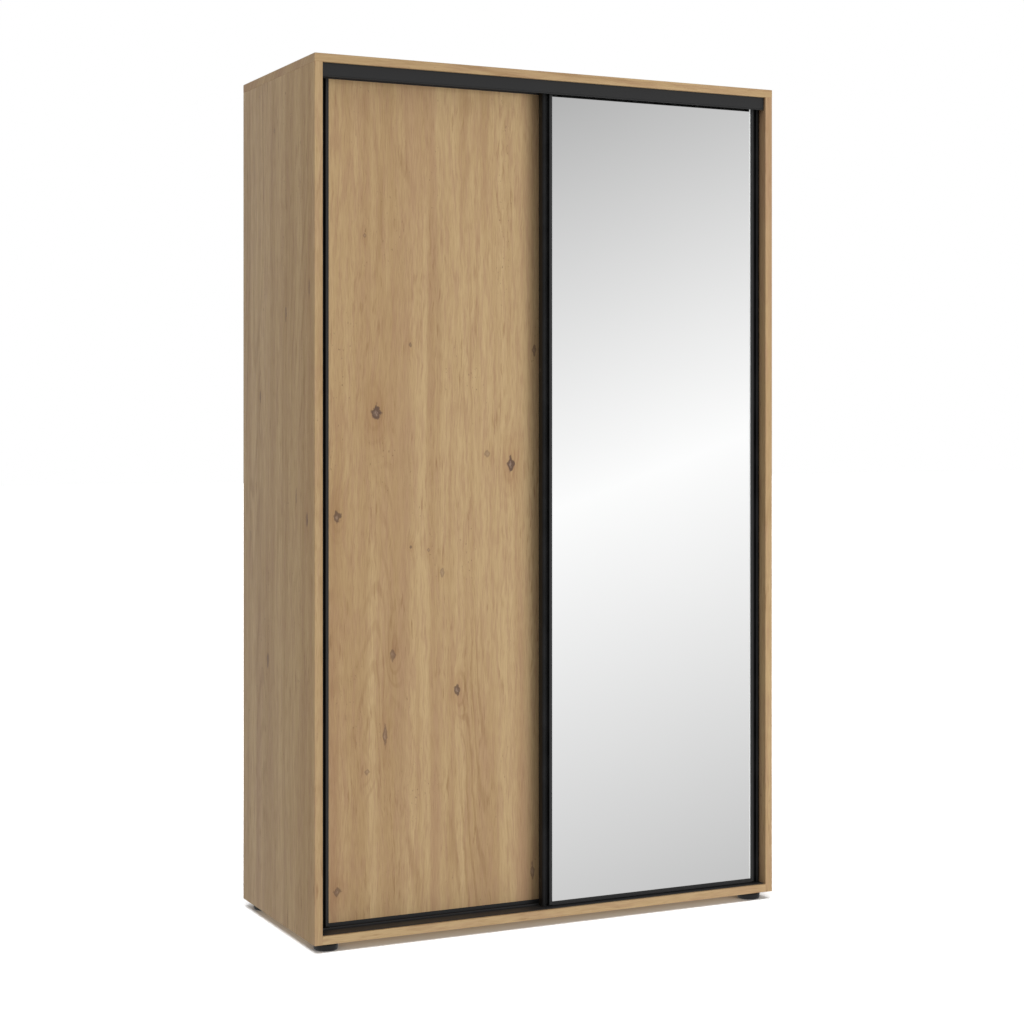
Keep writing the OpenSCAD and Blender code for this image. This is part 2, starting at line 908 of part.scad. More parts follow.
side_panel_left();
side_panel_right();
top_panel();
bottom_panel();
centre_partition();
back_panel_left();
back_panel_right();
back_nails();
hat_shelf();
shelf_1();
shelf_2();
shelf_3();
shelf_4();
shelf_pins();
hanging_rail();
rail_brackets();
foot_front_left();
foot_front_right();
foot_back_left();
foot_back_right();
cam_locks();
cam_bolts();
dowels();
carcass_screws();
top_track();
bottom_track();
track_screws();
track_stops();
left_door_panel();
stile_left(0);  // left_door_stile_left
stile_right(0);  // left_door_stile_right
top_rail(0);  // left_door_top_rail
bottom_rail(0);  // left_door_bottom_rail
end_caps(0);  // left_door_end_caps
left_door_brush();
screws(0);  // left_door_screws
roller_brackets(0);  // left_door_roller_brackets
axles(0);  // left_door_axles
wheel(0, wheel_inset);  // left_door_wheel_left
wheel(0, door_w - wheel_inset);  // left_door_wheel_right
guide_blocks(0);  // left_door_guide_blocks
guide_roller(0, guide_inset);  // left_door_guide_roller_left
guide_roller(0, door_w - guide_inset);  // left_door_guide_roller_right
right_door_mirror();
right_door_backing();
stile_left(1);  // right_door_stile_left
stile_right(1);  // right_door_stile_right
top_rail(1);  // right_door_top_rail
bottom_rail(1);  // right_door_bottom_rail
end_caps(1);  // right_door_end_caps
right_door_brush();
screws(1);  // right_door_screws
roller_brackets(1);  // right_door_roller_brackets
axles(1);  // right_door_axles
wheel(1, wheel_inset);  // right_door_wheel_left
wheel(1, door_w - wheel_inset);  // right_door_wheel_right
guide_blocks(1);  // right_door_guide_blocks
guide_roller(1, guide_inset);  // right_door_guide_roller_left
guide_roller(1, door_w - guide_inset);  // right_door_guide_roller_right
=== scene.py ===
# %% [markdown]
# # A sliding door wardrobe
# The carcass, the doors and the running gear come as a finished, dimensioned frame. This lesson gives
# them their surfaces: oak-decor boards with knots, black powder-coated profiles, a silvered mirror,
# brush seals, fasteners and rollers. Lengths are in metres, X runs to the right, the front faces -Y.

# %% Load the frame
import json
import math

import bmesh
import bpy
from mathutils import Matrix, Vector

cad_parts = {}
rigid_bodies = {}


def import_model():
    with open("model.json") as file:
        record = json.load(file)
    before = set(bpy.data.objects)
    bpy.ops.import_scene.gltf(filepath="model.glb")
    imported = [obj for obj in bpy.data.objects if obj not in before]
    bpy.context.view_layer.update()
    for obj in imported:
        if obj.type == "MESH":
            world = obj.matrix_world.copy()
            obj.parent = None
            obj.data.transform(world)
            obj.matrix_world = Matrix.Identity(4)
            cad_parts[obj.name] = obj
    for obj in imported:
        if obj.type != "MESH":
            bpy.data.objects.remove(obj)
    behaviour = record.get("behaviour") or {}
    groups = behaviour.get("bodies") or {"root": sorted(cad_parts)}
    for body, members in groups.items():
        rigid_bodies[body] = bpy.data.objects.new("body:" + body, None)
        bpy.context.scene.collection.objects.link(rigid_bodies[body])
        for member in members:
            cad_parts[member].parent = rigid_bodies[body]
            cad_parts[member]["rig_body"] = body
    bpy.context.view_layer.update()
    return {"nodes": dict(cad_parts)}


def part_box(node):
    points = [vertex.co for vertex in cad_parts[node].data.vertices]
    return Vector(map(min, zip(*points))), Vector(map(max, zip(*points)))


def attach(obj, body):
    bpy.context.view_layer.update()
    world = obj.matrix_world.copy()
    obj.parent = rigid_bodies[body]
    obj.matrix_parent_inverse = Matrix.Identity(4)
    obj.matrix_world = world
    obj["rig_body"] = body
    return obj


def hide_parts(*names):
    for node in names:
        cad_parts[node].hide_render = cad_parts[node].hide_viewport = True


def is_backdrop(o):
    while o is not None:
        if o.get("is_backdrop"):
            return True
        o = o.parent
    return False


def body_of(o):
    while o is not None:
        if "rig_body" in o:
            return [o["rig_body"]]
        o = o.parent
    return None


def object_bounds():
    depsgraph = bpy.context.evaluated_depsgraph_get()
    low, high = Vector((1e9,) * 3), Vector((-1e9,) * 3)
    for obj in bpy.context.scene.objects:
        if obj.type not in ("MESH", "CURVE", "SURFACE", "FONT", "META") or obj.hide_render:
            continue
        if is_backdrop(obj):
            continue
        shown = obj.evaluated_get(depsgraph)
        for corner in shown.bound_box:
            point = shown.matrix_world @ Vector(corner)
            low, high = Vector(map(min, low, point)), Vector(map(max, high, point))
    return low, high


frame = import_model()

# %% [markdown]
# The camera comes first, because every judgement of a shape or a colour is made through it. It stands
# left of the wardrobe at chest height and looks level, so that upright edges stay parallel. A level
# camera would put the horizon in the middle of the frame; a small vertical shift moves it up instead
# of a tilt, which would make the uprights converge.

# %% Camera
CAMERA_PLACE = Vector((-2.1735, -4.4964, 1.1948))
CAMERA_TURN = math.radians(25.87)
CAMERA_LENS = 71.55
CAMERA_SHIFT = -0.0939
SENSOR_WIDTH = 36

camera_data = bpy.data.cameras.new("camera")
camera_data.lens = CAMERA_LENS
camera_data.sensor_width = SENSOR_WIDTH
camera_data.shift_y = CAMERA_SHIFT
camera = bpy.data.objects.new("camera", camera_data)
camera.location = CAMERA_PLACE
camera.rotation_euler = (math.pi / 2, 0, -CAMERA_TURN)
bpy.context.scene.collection.objects.link(camera)
bpy.context.scene.camera = camera
bpy.context.scene.view_settings.view_transform = "Standard"
print("camera at", tuple(round(c, 3) for c in CAMERA_PLACE))

# %% [markdown]
# Shader and geometry trees are built from Python throughout. A few small helpers keep that readable.
# `add` makes one node, sets its properties and fills its inputs by name or number; an input is either
# a plain value or another node's output. The others are the nodes that every material needs: a sum,
# a vector, a noise, a smooth step from one level to another, and a blend of two colours.

# %% Node helpers
def add(tree, kind, settings=None, inputs=None):
    made = tree.nodes.new(kind)
    for name, value in (settings or {}).items():
        setattr(made, name, value)
    for key, value in (inputs or {}).items():
        socket = made.inputs[key]
        if isinstance(value, bpy.types.NodeSocket):
            tree.links.new(value, socket)
        else:
            socket.default_value = value
    return made


def calc(tree, operation, *values):
    inputs = dict(enumerate(values))
    return add(tree, "ShaderNodeMath", {"operation": operation}, inputs).outputs[0]


def vector(tree, x=0.0, y=0.0, z=0.0):
    return add(tree, "ShaderNodeCombineXYZ", None, {0: x, 1: y, 2: z}).outputs[0]


def noise(tree, place, scale=1.0, detail=2.0, roughness=0.5):
    inputs = {"Vector": place, "Scale": scale, "Detail": detail, "Roughness": roughness}
    return add(tree, "ShaderNodeTexNoise", {"noise_dimensions": "3D"}, inputs).outputs[0]


def fade(tree, value, low, high, to_low=0.0, to_high=1.0):
    """Maps value from low..high to to_low..to_high with a smooth start and end"""
    inputs = {0: value, 1: low, 2: high, 3: to_low, 4: to_high}
    settings = {"interpolation_type": "SMOOTHSTEP"}
    return add(tree, "ShaderNodeMapRange", settings, inputs).outputs[0]


def blend_colours(tree, factor, first, second, mode="MIX"):
    settings = {"data_type": "RGBA", "blend_type": mode}
    return add(tree, "ShaderNodeMix", settings, {0: factor, 6: first, 7: second}).outputs[2]


def new_material(name):
    material = bpy.data.materials.new(name)
    material.use_nodes = True
    shader = material.node_tree.nodes["Principled BSDF"]
    return material, material.node_tree, shader


print("node helpers ready")

# %% [markdown]
# The set is a plain white studio: a pale floor, one large softbox low at the front right, and a
# surround that is white to the camera. A mirror shows whatever stands opposite it, so the surround
# holds a broad tilted band of light that fades to grey above and below. It is a direction in space,
# like a real softbox, so every view reflects it consistently. To the sides and behind the wardrobe
# the surround is an even glow, which is the soft light that the rest of it stands in.

# %% The surround
BAND_PEAK = 1.09
BAND_FADE_UP = 2.92
BAND_FADE_DOWN = 2.22
BAND_TILT = 0.396
BAND_RAISE = 0.055
FRONT_LOW = 0.42
SIDE_GLOW = 0.66
SIDE_TO_FRONT = (0.1, 0.5)
LEAST_REACH = 0.05

world = bpy.data.worlds.new("studio")
bpy.context.scene.world = world
world.use_nodes = True
sky = world.node_tree
sky.nodes.clear()
ray = add(sky, "ShaderNodeTexCoord").outputs["Generated"]
forward = (math.sin(CAMERA_TURN), -math.cos(CAMERA_TURN), 0.0)
sideways = (math.cos(CAMERA_TURN), math.sin(CAMERA_TURN), 0.0)


def along(direction):
    inputs = {0: ray, 1: direction}
    return add(sky, "ShaderNodeVectorMath", {"operation": "DOT_PRODUCT"}, inputs).outputs["Value"]


frontal = along(forward)
reach = calc(sky, "MAXIMUM", frontal, LEAST_REACH)
rise = calc(sky, "DIVIDE", along((0.0, 0.0, 1.0)), reach)
side = calc(sky, "DIVIDE", along(sideways), reach)
height = calc(sky, "ADD", calc(sky, "MULTIPLY_ADD", side, -BAND_TILT, rise), BAND_RAISE)
above = calc(sky, "MULTIPLY", calc(sky, "MAXIMUM", height, 0.0), BAND_FADE_UP)
below = calc(sky, "MULTIPLY", calc(sky, "MINIMUM", height, 0.0), -BAND_FADE_DOWN)
band = calc(sky, "SUBTRACT", BAND_PEAK, calc(sky, "ADD", above, below))
lowest = fade(sky, frontal, *SIDE_TO_FRONT, SIDE_GLOW, FRONT_LOW)
band = calc(sky, "MAXIMUM", band, lowest)
to_camera = add(sky, "ShaderNodeLightPath").outputs["Is Camera Ray"]
glow = add(sky, "ShaderNodeMix", {"data_type": "FLOAT"}, {0: to_camera, 2: band, 3: 1.0}).outputs[0]
background = add(sky, "ShaderNodeBackground", None, {"Color": (1, 1, 1, 1), "Strength": glow})
add(sky, "ShaderNodeOutputWorld", None, {"Surface": background.outputs[0]})
print("surround built from", len(sky.nodes), "nodes")

# %% [markdown]
# The floor is brighter than any vertical surface, as it is in a real studio where it has lamps of its
# own. Light linking does the same here: the floor lamp lights only the floor, and the wardrobe still
# casts its contact shadow in it. The floor is also kept out of mirror reflections and bounced light,
# so that the band runs on unbroken to the foot of the mirror and the oak keeps its own colour.

# %% Floor and lamps
FLOOR_RADIUS = 30.0
KEY_POWER = 193.0
KEY_PLACE = (2.3, -4.6, 0.75)
KEY_AIM = (0.0, 0.0, 0.65)
KEY_SIZE = 3.4
FLOOR_PAINT = (0.86, 0.86, 0.86, 1)
FLOOR_LAMP = 4.5
FLOOR_LAMP_TILT = math.radians(24)
FLOOR_LAMP_SPREAD = math.radians(40)


def studio_floor():
    mesh = bpy.data.meshes.new("studio_floor")
    r = FLOOR_RADIUS
    mesh.from_pydata([(-r, -r, 0), (r, -r, 0), (r, r, 0), (-r, r, 0)], [], [(0, 1, 2, 3)])
    floor = bpy.data.objects.new("studio_floor", mesh)
    bpy.context.scene.collection.objects.link(floor)
    material, _, shader = new_material("studio_floor")
    shader.inputs["Base Color"].default_value = FLOOR_PAINT
    shader.inputs["Roughness"].default_value = 0.9
    shader.inputs["Specular IOR Level"].default_value = 0.0
    mesh.materials.append(material)
    floor.visible_glossy = False
    floor.visible_diffuse = False
    floor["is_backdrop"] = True
    return floor


def lamp(name, kind, place, power):
    data = bpy.data.lights.new(name, kind)
    data.energy = power
    light = bpy.data.objects.new(name, data)
    light.location = place
    light.visible_glossy = False
    bpy.context.scene.collection.objects.link(light)
    return light


def aim(light, direction):
    light.rotation_euler = direction.to_track_quat("-Z", "Y").to_euler()


floor = studio_floor()
key = lamp("key", "AREA", KEY_PLACE, KEY_POWER)
key.data.size = KEY_SIZE
aim(key, Vector(KEY_AIM) - Vector(KEY_PLACE))
floor_lamp = lamp("floor_lamp", "SUN", (0, 0, 4), FLOOR_LAMP)
floor_lamp.data.angle = FLOOR_LAMP_SPREAD
away = Vector((math.sin(CAMERA_TURN), math.cos(CAMERA_TURN), 0)) * math.sin(FLOOR_LAMP_TILT)
aim(floor_lamp, away - Vector((0, 0, math.cos(FLOOR_LAMP_TILT))))
floor_only = bpy.data.collections.new("floor_only")
floor_only.objects.link(floor)
floor_lamp.light_linking.receiver_collection = floor_only
print("floor and lamps in place")

# %% [markdown]
# Oak decor is a printed picture of a flat-sawn board under a matt film. An image would be the usual way
# to texture it; here it is worked out, so that it has no repeats and no seams. A slow noise, stretched
# along the grain, stands for the depth of the growth rings, and its contour lines are what a saw
# reveals. A knot is a bump in that field, so the grain flows round it by itself. The knot's own shape
# is a rough diamond with a dark rim and a paler heart, which a small group works out once for all.

# %% The knot group
KNOT_CORNERS = 1.25
CORE_EDGE = (1.20, 0.78)
HEART_EDGE = (0.62, 0.10)
FIELD_REACH = (0.38, 0.17)
HALO_REACH = (0.46, 0.26)


def group_tree(name, inputs, outputs):
    tree = bpy.data.node_groups.new(name, "ShaderNodeTree")
    for label in inputs:
        tree.interface.new_socket(label, in_out="INPUT", socket_type="NodeSocketFloat")
    for label, kind in outputs:
        tree.interface.new_socket(label, in_out="OUTPUT", socket_type=kind)
    return tree, add(tree, "NodeGroupInput").outputs, add(tree, "NodeGroupOutput").inputs


def build_knot_group():
    floats = ["U", "V", "Wobble", "Knot U", "Knot V", "Half width", "Half height", "Depth"]
    results = [(label, "NodeSocketFloat") for label in ("Field", "Core", "Halo", "Rim")]
    tree, source, sink = group_tree("knot", floats, results)

    def scaled(label, centre, size):
        off = calc(tree, "SUBTRACT", source[label], source[centre])
        return calc(tree, "DIVIDE", off, source[size])

    def bell(spread_u, spread_v):
        u = calc(tree, "MULTIPLY", du, spread_u)
        v = calc(tree, "MULTIPLY", dv, spread_v)
        squares = calc(tree, "ADD", calc(tree, "MULTIPLY", u, u), calc(tree, "MULTIPLY", v, v))
        height = calc(tree, "EXPONENT", calc(tree, "MULTIPLY", squares, -1.0))
        return calc(tree, "MULTIPLY", height, source["Depth"])

    du = scaled("U", "Knot U", "Half width")
    dv = scaled("V", "Knot V", "Half height")
    powers = [calc(tree, "POWER", calc(tree, "ABSOLUTE", d), KNOT_CORNERS) for d in (du, dv)]
    away = calc(tree, "POWER", calc(tree, "ADD", *powers), 1 / KNOT_CORNERS)
    away = calc(tree, "ADD", away, source["Wobble"])
    core = calc(tree, "MULTIPLY", fade(tree, away, *CORE_EDGE), source["Depth"])
    tree.links.new(core, sink["Core"])
    tree.links.new(fade(tree, away, *HEART_EDGE), sink["Rim"])
    tree.links.new(bell(*FIELD_REACH), sink["Field"])
    tree.links.new(bell(*HALO_REACH), sink["Halo"])
    return tree


knot_group = build_knot_group()
print("knot group:", len(knot_group.nodes), "nodes")

# %% [markdown]
# The figure itself is many layers of noise, each with its own count per metre across and along the
# grain. They go on roughly from broad and pale to fine and dark: tones, rings, short dashes, specks,
# fibre and open pores. Two tables hold the counts, so that a layer can be tuned without touching the
# tree. A row of LAYERS is counts across and along, a shift that makes it its own pattern, detail and
# roughness of the noise, and the two levels between which it fades in. A row of WAVES ends in how far,
# in metres, it pushes the whole grain sideways.

# %% The layers of the figure
OAK_LIGHT = (0.578, 0.412, 0.219, 1)
OAK_MID = (0.478, 0.320, 0.163, 1)
OAK_PINK = (0.452, 0.282, 0.164, 1)
OAK_BROWN = (0.350, 0.220, 0.118, 1)
DARK_FIBRE = (0.70, 0.62, 0.56, 1)
KNOT_DARK = (0.125, 0.078, 0.058, 1)
KNOT_PALE = (0.285, 0.200, 0.152, 1)
KNOT_HALO = (0.80, 0.70, 0.66, 1)
WAVES = {"sway": (5.0, 1.6, 41.0, 2.0, 0.5, 0.024), "ripple": (26.0, 17.0, 43.0, 3.0, 0.6, 0.009)}
LAYERS = {
    "tone": (22.0, 0.45, 5.0, 3.0, 0.62, 0.36, 0.64),
    "pink": (12.0, 0.40, 9.0, 3.0, 0.55, 0.48, 0.66),
    "brown": (9.0, 0.55, 15.0, 3.0, 0.6, 0.55, 0.74),
    "streaks": (120.0, 9.0, 61.0, 3.0, 0.65, 0.42, 0.66),
    "figured": (8.0, 1.0, 31.0, 2.0, 0.5, 0.50, 0.66),
    "dashes": (230.0, 19.0, 51.0, 3.0, 0.5, 0.54, 0.72),
    "crowded": (22.0, 5.0, 53.0, 3.0, 0.5, 0.42, 0.64),
    "specks": (260.0, 100.0, 71.0, 1.0, 0.5, 0.69, 0.77),
    "speckled": (14.0, 2.6, 73.0, 2.0, 0.5, 0.53, 0.66),
    "pores": (1000.0, 34.0, 17.0, 1.0, 0.5, 0.62, 0.72),
    "porous": (60.0, 2.2, 19.0, 2.0, 0.5, 0.42, 0.62),
    "cracks": (300.0, 150.0, 23.0, 3.0, 0.5, 0.54, 0.60),
}
RING_DEPTH = (4.0, 0.40, 0.0, 1.5, 0.35)
RING_COUNT = 230.0
FIBRE = (700.0, 26.0, 13.0, 2.0, 0.5)
KNOT_PULL_ASIDE = 0.010
KNOT_PULL_DEPTH = 0.10
print("layers of the figure:", len(LAYERS))

# %% The oak figure group


def build_oak_group():
    floats = ["U", "V", "Seed", "Field", "Core", "Halo", "Rim"]
    results = [("Color", "NodeSocketColor"), ("Height", "NodeSocketFloat"),
               ("Roughness", "NodeSocketFloat")]
    tree, source, sink = group_tree("oak_figure", floats, results)

    def grain(per_u, per_v, shift, detail, roughness):
        place = vector(tree, calc(tree, "MULTIPLY", across, per_u),
                       calc(tree, "MULTIPLY", source["V"], per_v),
                       calc(tree, "ADD", source["Seed"], shift))
        return noise(tree, place, detail=detail, roughness=roughness)

    def layer(name):
        *counts, low, high = LAYERS[name]
        return fade(tree, grain(*counts), low, high)

    def tinted(colour, mask, strength, tint):
        return blend_colours(tree, calc(tree, "MULTIPLY", mask, strength), colour, tint)

    def darken(colour, mask, strength, tint=DARK_FIBRE):
        factor = calc(tree, "MULTIPLY", mask, strength)
        return blend_colours(tree, factor, colour, tint, "MULTIPLY")

    def both(first, second):
        return calc(tree, "MULTIPLY", first, second)

    across = source["U"]
    for *counts, reach in WAVES.values():
        swing = calc(tree, "SUBTRACT", grain(*counts), 0.5)
        across = calc(tree, "MULTIPLY_ADD", swing, reach, across)
    across = calc(tree, "MULTIPLY_ADD", source["Field"], KNOT_PULL_ASIDE, across)

    colour = blend_colours(tree, layer("tone"), OAK_LIGHT, OAK_MID)
    colour = tinted(colour, layer("pink"), 0.66, OAK_PINK)
    colour = tinted(colour, layer("brown"), 0.36, OAK_BROWN)
    colour = tinted(colour, layer("streaks"), 0.55, OAK_PINK)

    depth = calc(tree, "MULTIPLY_ADD", source["Field"], KNOT_PULL_DEPTH, grain(*RING_DEPTH))
    rings = calc(tree, "SINE", calc(tree, "MULTIPLY", depth, RING_COUNT))
    round_knots = calc(tree, "MULTIPLY", source["Field"], 0.45)
    figured = calc(tree, "MAXIMUM", layer("figured"), round_knots)
    colour = darken(colour, both(fade(tree, rings, 0.2, 1.0), figured), 0.42)

    colour = darken(colour, both(layer("dashes"), layer("crowded")), 0.75)
    colour = darken(colour, both(layer("specks"), layer("speckled")), 0.50, KNOT_DARK)
    fibre = grain(*FIBRE)
    colour = darken(colour, fade(tree, fibre, 0.35, 0.75), 0.45)
    pores = both(layer("pores"), layer("porous"))
    colour = darken(colour, pores, 0.55)

    colour = darken(colour, source["Halo"], 0.65, KNOT_HALO)
    knot = blend_colours(tree, source["Rim"], KNOT_DARK, KNOT_PALE)
    knot = tinted(knot, layer("cracks"), 0.7, KNOT_DARK)
    colour = tinted(colour, source["Core"], 0.92, knot)
    tree.links.new(colour, sink["Color"])
    relief = calc(tree, "SUBTRACT", calc(tree, "MULTIPLY", fibre, 0.5), pores)
    tree.links.new(calc(tree, "SUBTRACT", relief, source["Core"]), sink["Height"])
    tree.links.new(fade(tree, fibre, 0.2, 0.8, 0.44, 0.56), sink["Roughness"])
    return tree


oak_group = build_oak_group()
print("oak figure group:", len(oak_group.nodes), "nodes")

# %% [markdown]
# A decor designer places the knots of a print by hand; this table lists them: place across and along
# the board in metres, half width, half height, and how strongly the knot shows. Large dark knots are
# few and far apart; small faint ones keep the eye from finding a pattern.

# %% Where the knots are
DOOR_KNOTS = (
    (-0.427, 1.201, 0.0130, 0.0190, 1.0), (-0.086, 1.081, 0.0105, 0.0180, 1.0),
    (-0.147, 1.106, 0.0080, 0.0090, 0.45), (-0.522, 0.966, 0.0100, 0.0150, 0.85),
    (-0.225, 0.556, 0.0090, 0.0140, 0.90), (-0.405, 0.463, 0.0065, 0.0240, 0.60),
    (-0.386, 0.647, 0.0085, 0.0140, 0.60), (-0.449, 0.384, 0.0070, 0.0070, 0.45),
    (-0.297, 0.885, 0.0035, 0.0045, 0.45), (-0.341, 0.893, 0.0040, 0.0045, 0.75),
    (-0.522, 0.119, 0.0100, 0.0130, 0.70), (-0.030, 0.118, 0.0070, 0.0200, 0.60),
    (-0.024, 1.350, 0.0060, 0.0120, 0.60), (-0.342, 1.358, 0.0045, 0.0070, 0.60),
    (-0.262, 0.832, 0.0060, 0.0120, 0.45), (-0.455, 1.605, 0.0045, 0.0055, 0.45),
)
SIDE_KNOTS = (
    (-0.201, 0.962, 0.0055, 0.0170, 0.75), (0.065, 0.620, 0.0065, 0.0220, 0.60),
    (-0.130, 1.010, 0.0040, 0.0230, 0.45), (0.120, 1.240, 0.0050, 0.0160, 0.60),
    (-0.060, 1.430, 0.0050, 0.0200, 0.55), (-0.215, 1.480, 0.0035, 0.0260, 0.60),
    (0.020, 1.860, 0.0045, 0.0070, 0.45), (0.190, 0.905, 0.0040, 0.0150, 0.40),
)
SHELF_KNOTS = (
    (0.050, -0.330, 0.0090, 0.0130, 0.80), (-0.060, 0.210, 0.0060, 0.0150, 0.60),
    (0.130, 0.420, 0.0080, 0.0110, 0.80), (-0.020, -0.120, 0.0040, 0.0060, 0.60),
)
print("knots on the door:", len(DOOR_KNOTS), "on a side:", len(SIDE_KNOTS))

# %% [markdown]
# One figure serves every board. A board only says which axis runs along its grain; what is left of
# the position runs across it, added up so that the figure also wraps onto the front edge. Each board
# has its own seed, because two boards of a real wardrobe never show the same piece of the print.

# %% Oak materials
SEED_STEP = 7.3
LAMINATE_GLOSS = 0.2
RAGGED_ACROSS, RAGGED_ALONG, RAGGED_AMOUNT = 130.0, 90.0, 1.6
GRAIN_RELIEF = 0.00015


def oak(name, along_axis, knots, number):
    material, tree, shader = new_material(name)
    coords = add(tree, "ShaderNodeTexCoord").outputs["Object"]
    x, y, z = add(tree, "ShaderNodeSeparateXYZ", None, {0: coords}).outputs[:3]
    v, rest = (z, (x, y)) if along_axis == "z" else (x, (y, z))
    u = calc(tree, "ADD", *rest)
    if name in KNOTS_FROM:
        u = calc(tree, "SUBTRACT", u, KNOTS_FROM[name])
    seed = number * SEED_STEP
    inputs = {"U": u, "V": v, "Seed": seed}
    figure = add(tree, "ShaderNodeGroup", {"node_tree": oak_group}, inputs)
    ragged = vector(tree, calc(tree, "MULTIPLY", u, RAGGED_ACROSS),
                    calc(tree, "MULTIPLY", v, RAGGED_ALONG), seed)
    wobble = calc(tree, "SUBTRACT", noise(tree, ragged, detail=3.0), 0.5)
    wobble = calc(tree, "MULTIPLY", wobble, RAGGED_AMOUNT)
    totals = {}
    for knot_u, knot_v, half_width, half_height, strength in knots:
        inputs = {"U": u, "V": v, "Wobble": wobble, "Knot U": knot_u, "Knot V": knot_v,
                  "Half width": half_width, "Half height": half_height, "Depth": strength}
        outputs = add(tree, "ShaderNodeGroup", {"node_tree": knot_group}, inputs).outputs
        for label in ("Field", "Core", "Halo", "Rim"):
            first = totals.get(label)
            new = outputs[label]
            totals[label] = calc(tree, "MAXIMUM", first, new) if first else new
    for label, value in totals.items():
        tree.links.new(value, figure.inputs[label])
    tree.links.new(figure.outputs["Color"], shader.inputs["Base Color"])
    tree.links.new(figure.outputs["Roughness"], shader.inputs["Roughness"])
    relief = {"Strength": 0.3, "Distance": GRAIN_RELIEF, "Height": figure.outputs["Height"]}
    tree.links.new(add(tree, "ShaderNodeBump", None, relief).outputs[0], shader.inputs["Normal"])
    shader.inputs["Specular IOR Level"].default_value = LAMINATE_GLOSS
    return material


KNOTS_FROM = {"oak_left_door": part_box("left_door_panel")[0].y,
              "oak_side_left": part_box("side_panel_left")[0].x}
BOARD_GRAIN = {
    "side_panel_left": ("oak_side_left", "z", SIDE_KNOTS),
    "side_panel_right": ("oak_side_right", "z", SIDE_KNOTS[:4]),
    "centre_partition": ("oak_partition", "z", SIDE_KNOTS[2:6]),
    "left_door_panel": ("oak_left_door", "z", DOOR_KNOTS),
    "top_panel": ("oak_top", "x", SHELF_KNOTS),
    "bottom_panel": ("oak_bottom", "x", SHELF_KNOTS[1:]),
    "hat_shelf": ("oak_hat_shelf", "x", SHELF_KNOTS[:1]),
    "shelf_1": ("oak_shelf_1", "x", SHELF_KNOTS[1:3]),
    "shelf_2": ("oak_shelf_2", "x", ()),
    "shelf_3": ("oak_shelf_3", "x", SHELF_KNOTS[2:]),
    "shelf_4": ("oak_shelf_4", "x", SHELF_KNOTS[1:2]),
}
oak_of = {board: oak(name, axis, knots, number + 1)
          for number, (board, (name, axis, knots)) in enumerate(BOARD_GRAIN.items())}
print("oak materials:", len(oak_of))

# %% [markdown]
# The profiles are aluminium extrusions with a matt black powder coat. Powder melts into a skin with a
# very fine orange peel, which a bump map gives without any geometry. The box of a door stile is
# coloured
# far darker than the lip beside the panel: that is painted shade, and the lip keeps the coat's own
# colour, so the mask follows the lip's width. Handling also leaves faint smudges, a shade lighter and
# with another gloss.

# %% Black profile material
PEEL_SCALE = 900.0
PEEL_RELIEF = 0.00008
SMUDGE_SCALE = 9.0
POWDER_GLOSS = 0.28
TRACK_BLACK = (0.0260, 0.0260, 0.0265, 1)
# painted shade: a stile's box is coloured far darker than the coat
PAINTED_SHADE_BLACK = (0.0035, 0.0035, 0.0037, 1)
SATIN_BLACK = (0.0300, 0.0300, 0.0310, 1)


def object_place(tree):
    return add(tree, "ShaderNodeTexCoord").outputs["Object"]


def rough_from(tree, shader, value, low, high, to_low, to_high):
    tree.links.new(fade(tree, value, low, high, to_low, to_high), shader.inputs["Roughness"])


def bumped(tree, shader, height, strength, distance):
    inputs = {"Strength": strength, "Distance": distance, "Height": height}
    tree.links.new(add(tree, "ShaderNodeBump", None, inputs).outputs[0], shader.inputs["Normal"])


def powder_black(name, first, second, bright_from=None, bright_to=None):
    """first is the coat's colour, or on a stile's box a far darker painted shade; second that of the
    smudges and of the unshaded strip between two places along X
    """
    material, tree, shader = new_material(name)
    place = object_place(tree)
    peel = noise(tree, place, PEEL_SCALE, 2.0)
    smudge = noise(tree, place, SMUDGE_SCALE, 4.0, 0.6)
    tone = blend_colours(tree, fade(tree, smudge, 0.35, 0.70, 0.0, 0.35), first, second)
    if bright_from is not None:
        x = add(tree, "ShaderNodeSeparateXYZ", None, {0: place}).outputs[0]
        inside = calc(tree, "MULTIPLY", calc(tree, "GREATER_THAN", x, bright_from),
                      calc(tree, "LESS_THAN", x, bright_to))
        tone = blend_colours(tree, inside, tone, second)
    tree.links.new(tone, shader.inputs["Base Color"])
    rough_from(tree, shader, smudge, 0.3, 0.7, 0.46, 0.58)
    bumped(tree, shader, peel, 0.25, PEEL_RELIEF)
    shader.inputs["Specular IOR Level"].default_value = POWDER_GLOSS
    return material


STILE_BOX = 0.0186
DOORS = ("left_door", "right_door")
HANDS = ("left", "right")
black_of = {"track": powder_black("powder_black", TRACK_BLACK, SATIN_BLACK)}
# Each stile's box gets the far darker black as painted shade; its lip keeps the coat's colour.
for door in DOORS:
    for hand in HANDS:
        name = door + "_stile_" + hand
        low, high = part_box(name)
        lip_from = low.x + STILE_BOX if hand == "left" else low.x
        lip_to = high.x if hand == "left" else high.x - STILE_BOX
        black_of[name] = powder_black("black_" + name, PAINTED_SHADE_BLACK, SATIN_BLACK, lip_from, lip_to)
print("black profile materials:", len(black_of))

# %% [markdown]
# The small metal parts are steel. Zinc plating is a patchwork of fine crystals, a little blue, with
# uneven gloss; the chromed rail is brighter and smoother, with fine lines drawn along its length and
# cloudy wear from the hangers. Both are metals, so the colour sits in the reflection.

# %% Steel materials
ZINC = ((0.56, 0.57, 0.60, 1), (0.70, 0.70, 0.71, 1))
CHROME = ((0.78, 0.79, 0.80, 1), (0.86, 0.86, 0.86, 1))
CRYSTAL_SCALE = 650.0
WEAR_SCALE = 60.0
FINE_RELIEF = 0.00003


def stretched(tree, scales):
    inputs = {0: object_place(tree), 1: scales}
    return add(tree, "ShaderNodeVectorMath", {"operation": "MULTIPLY"}, inputs).outputs[0]


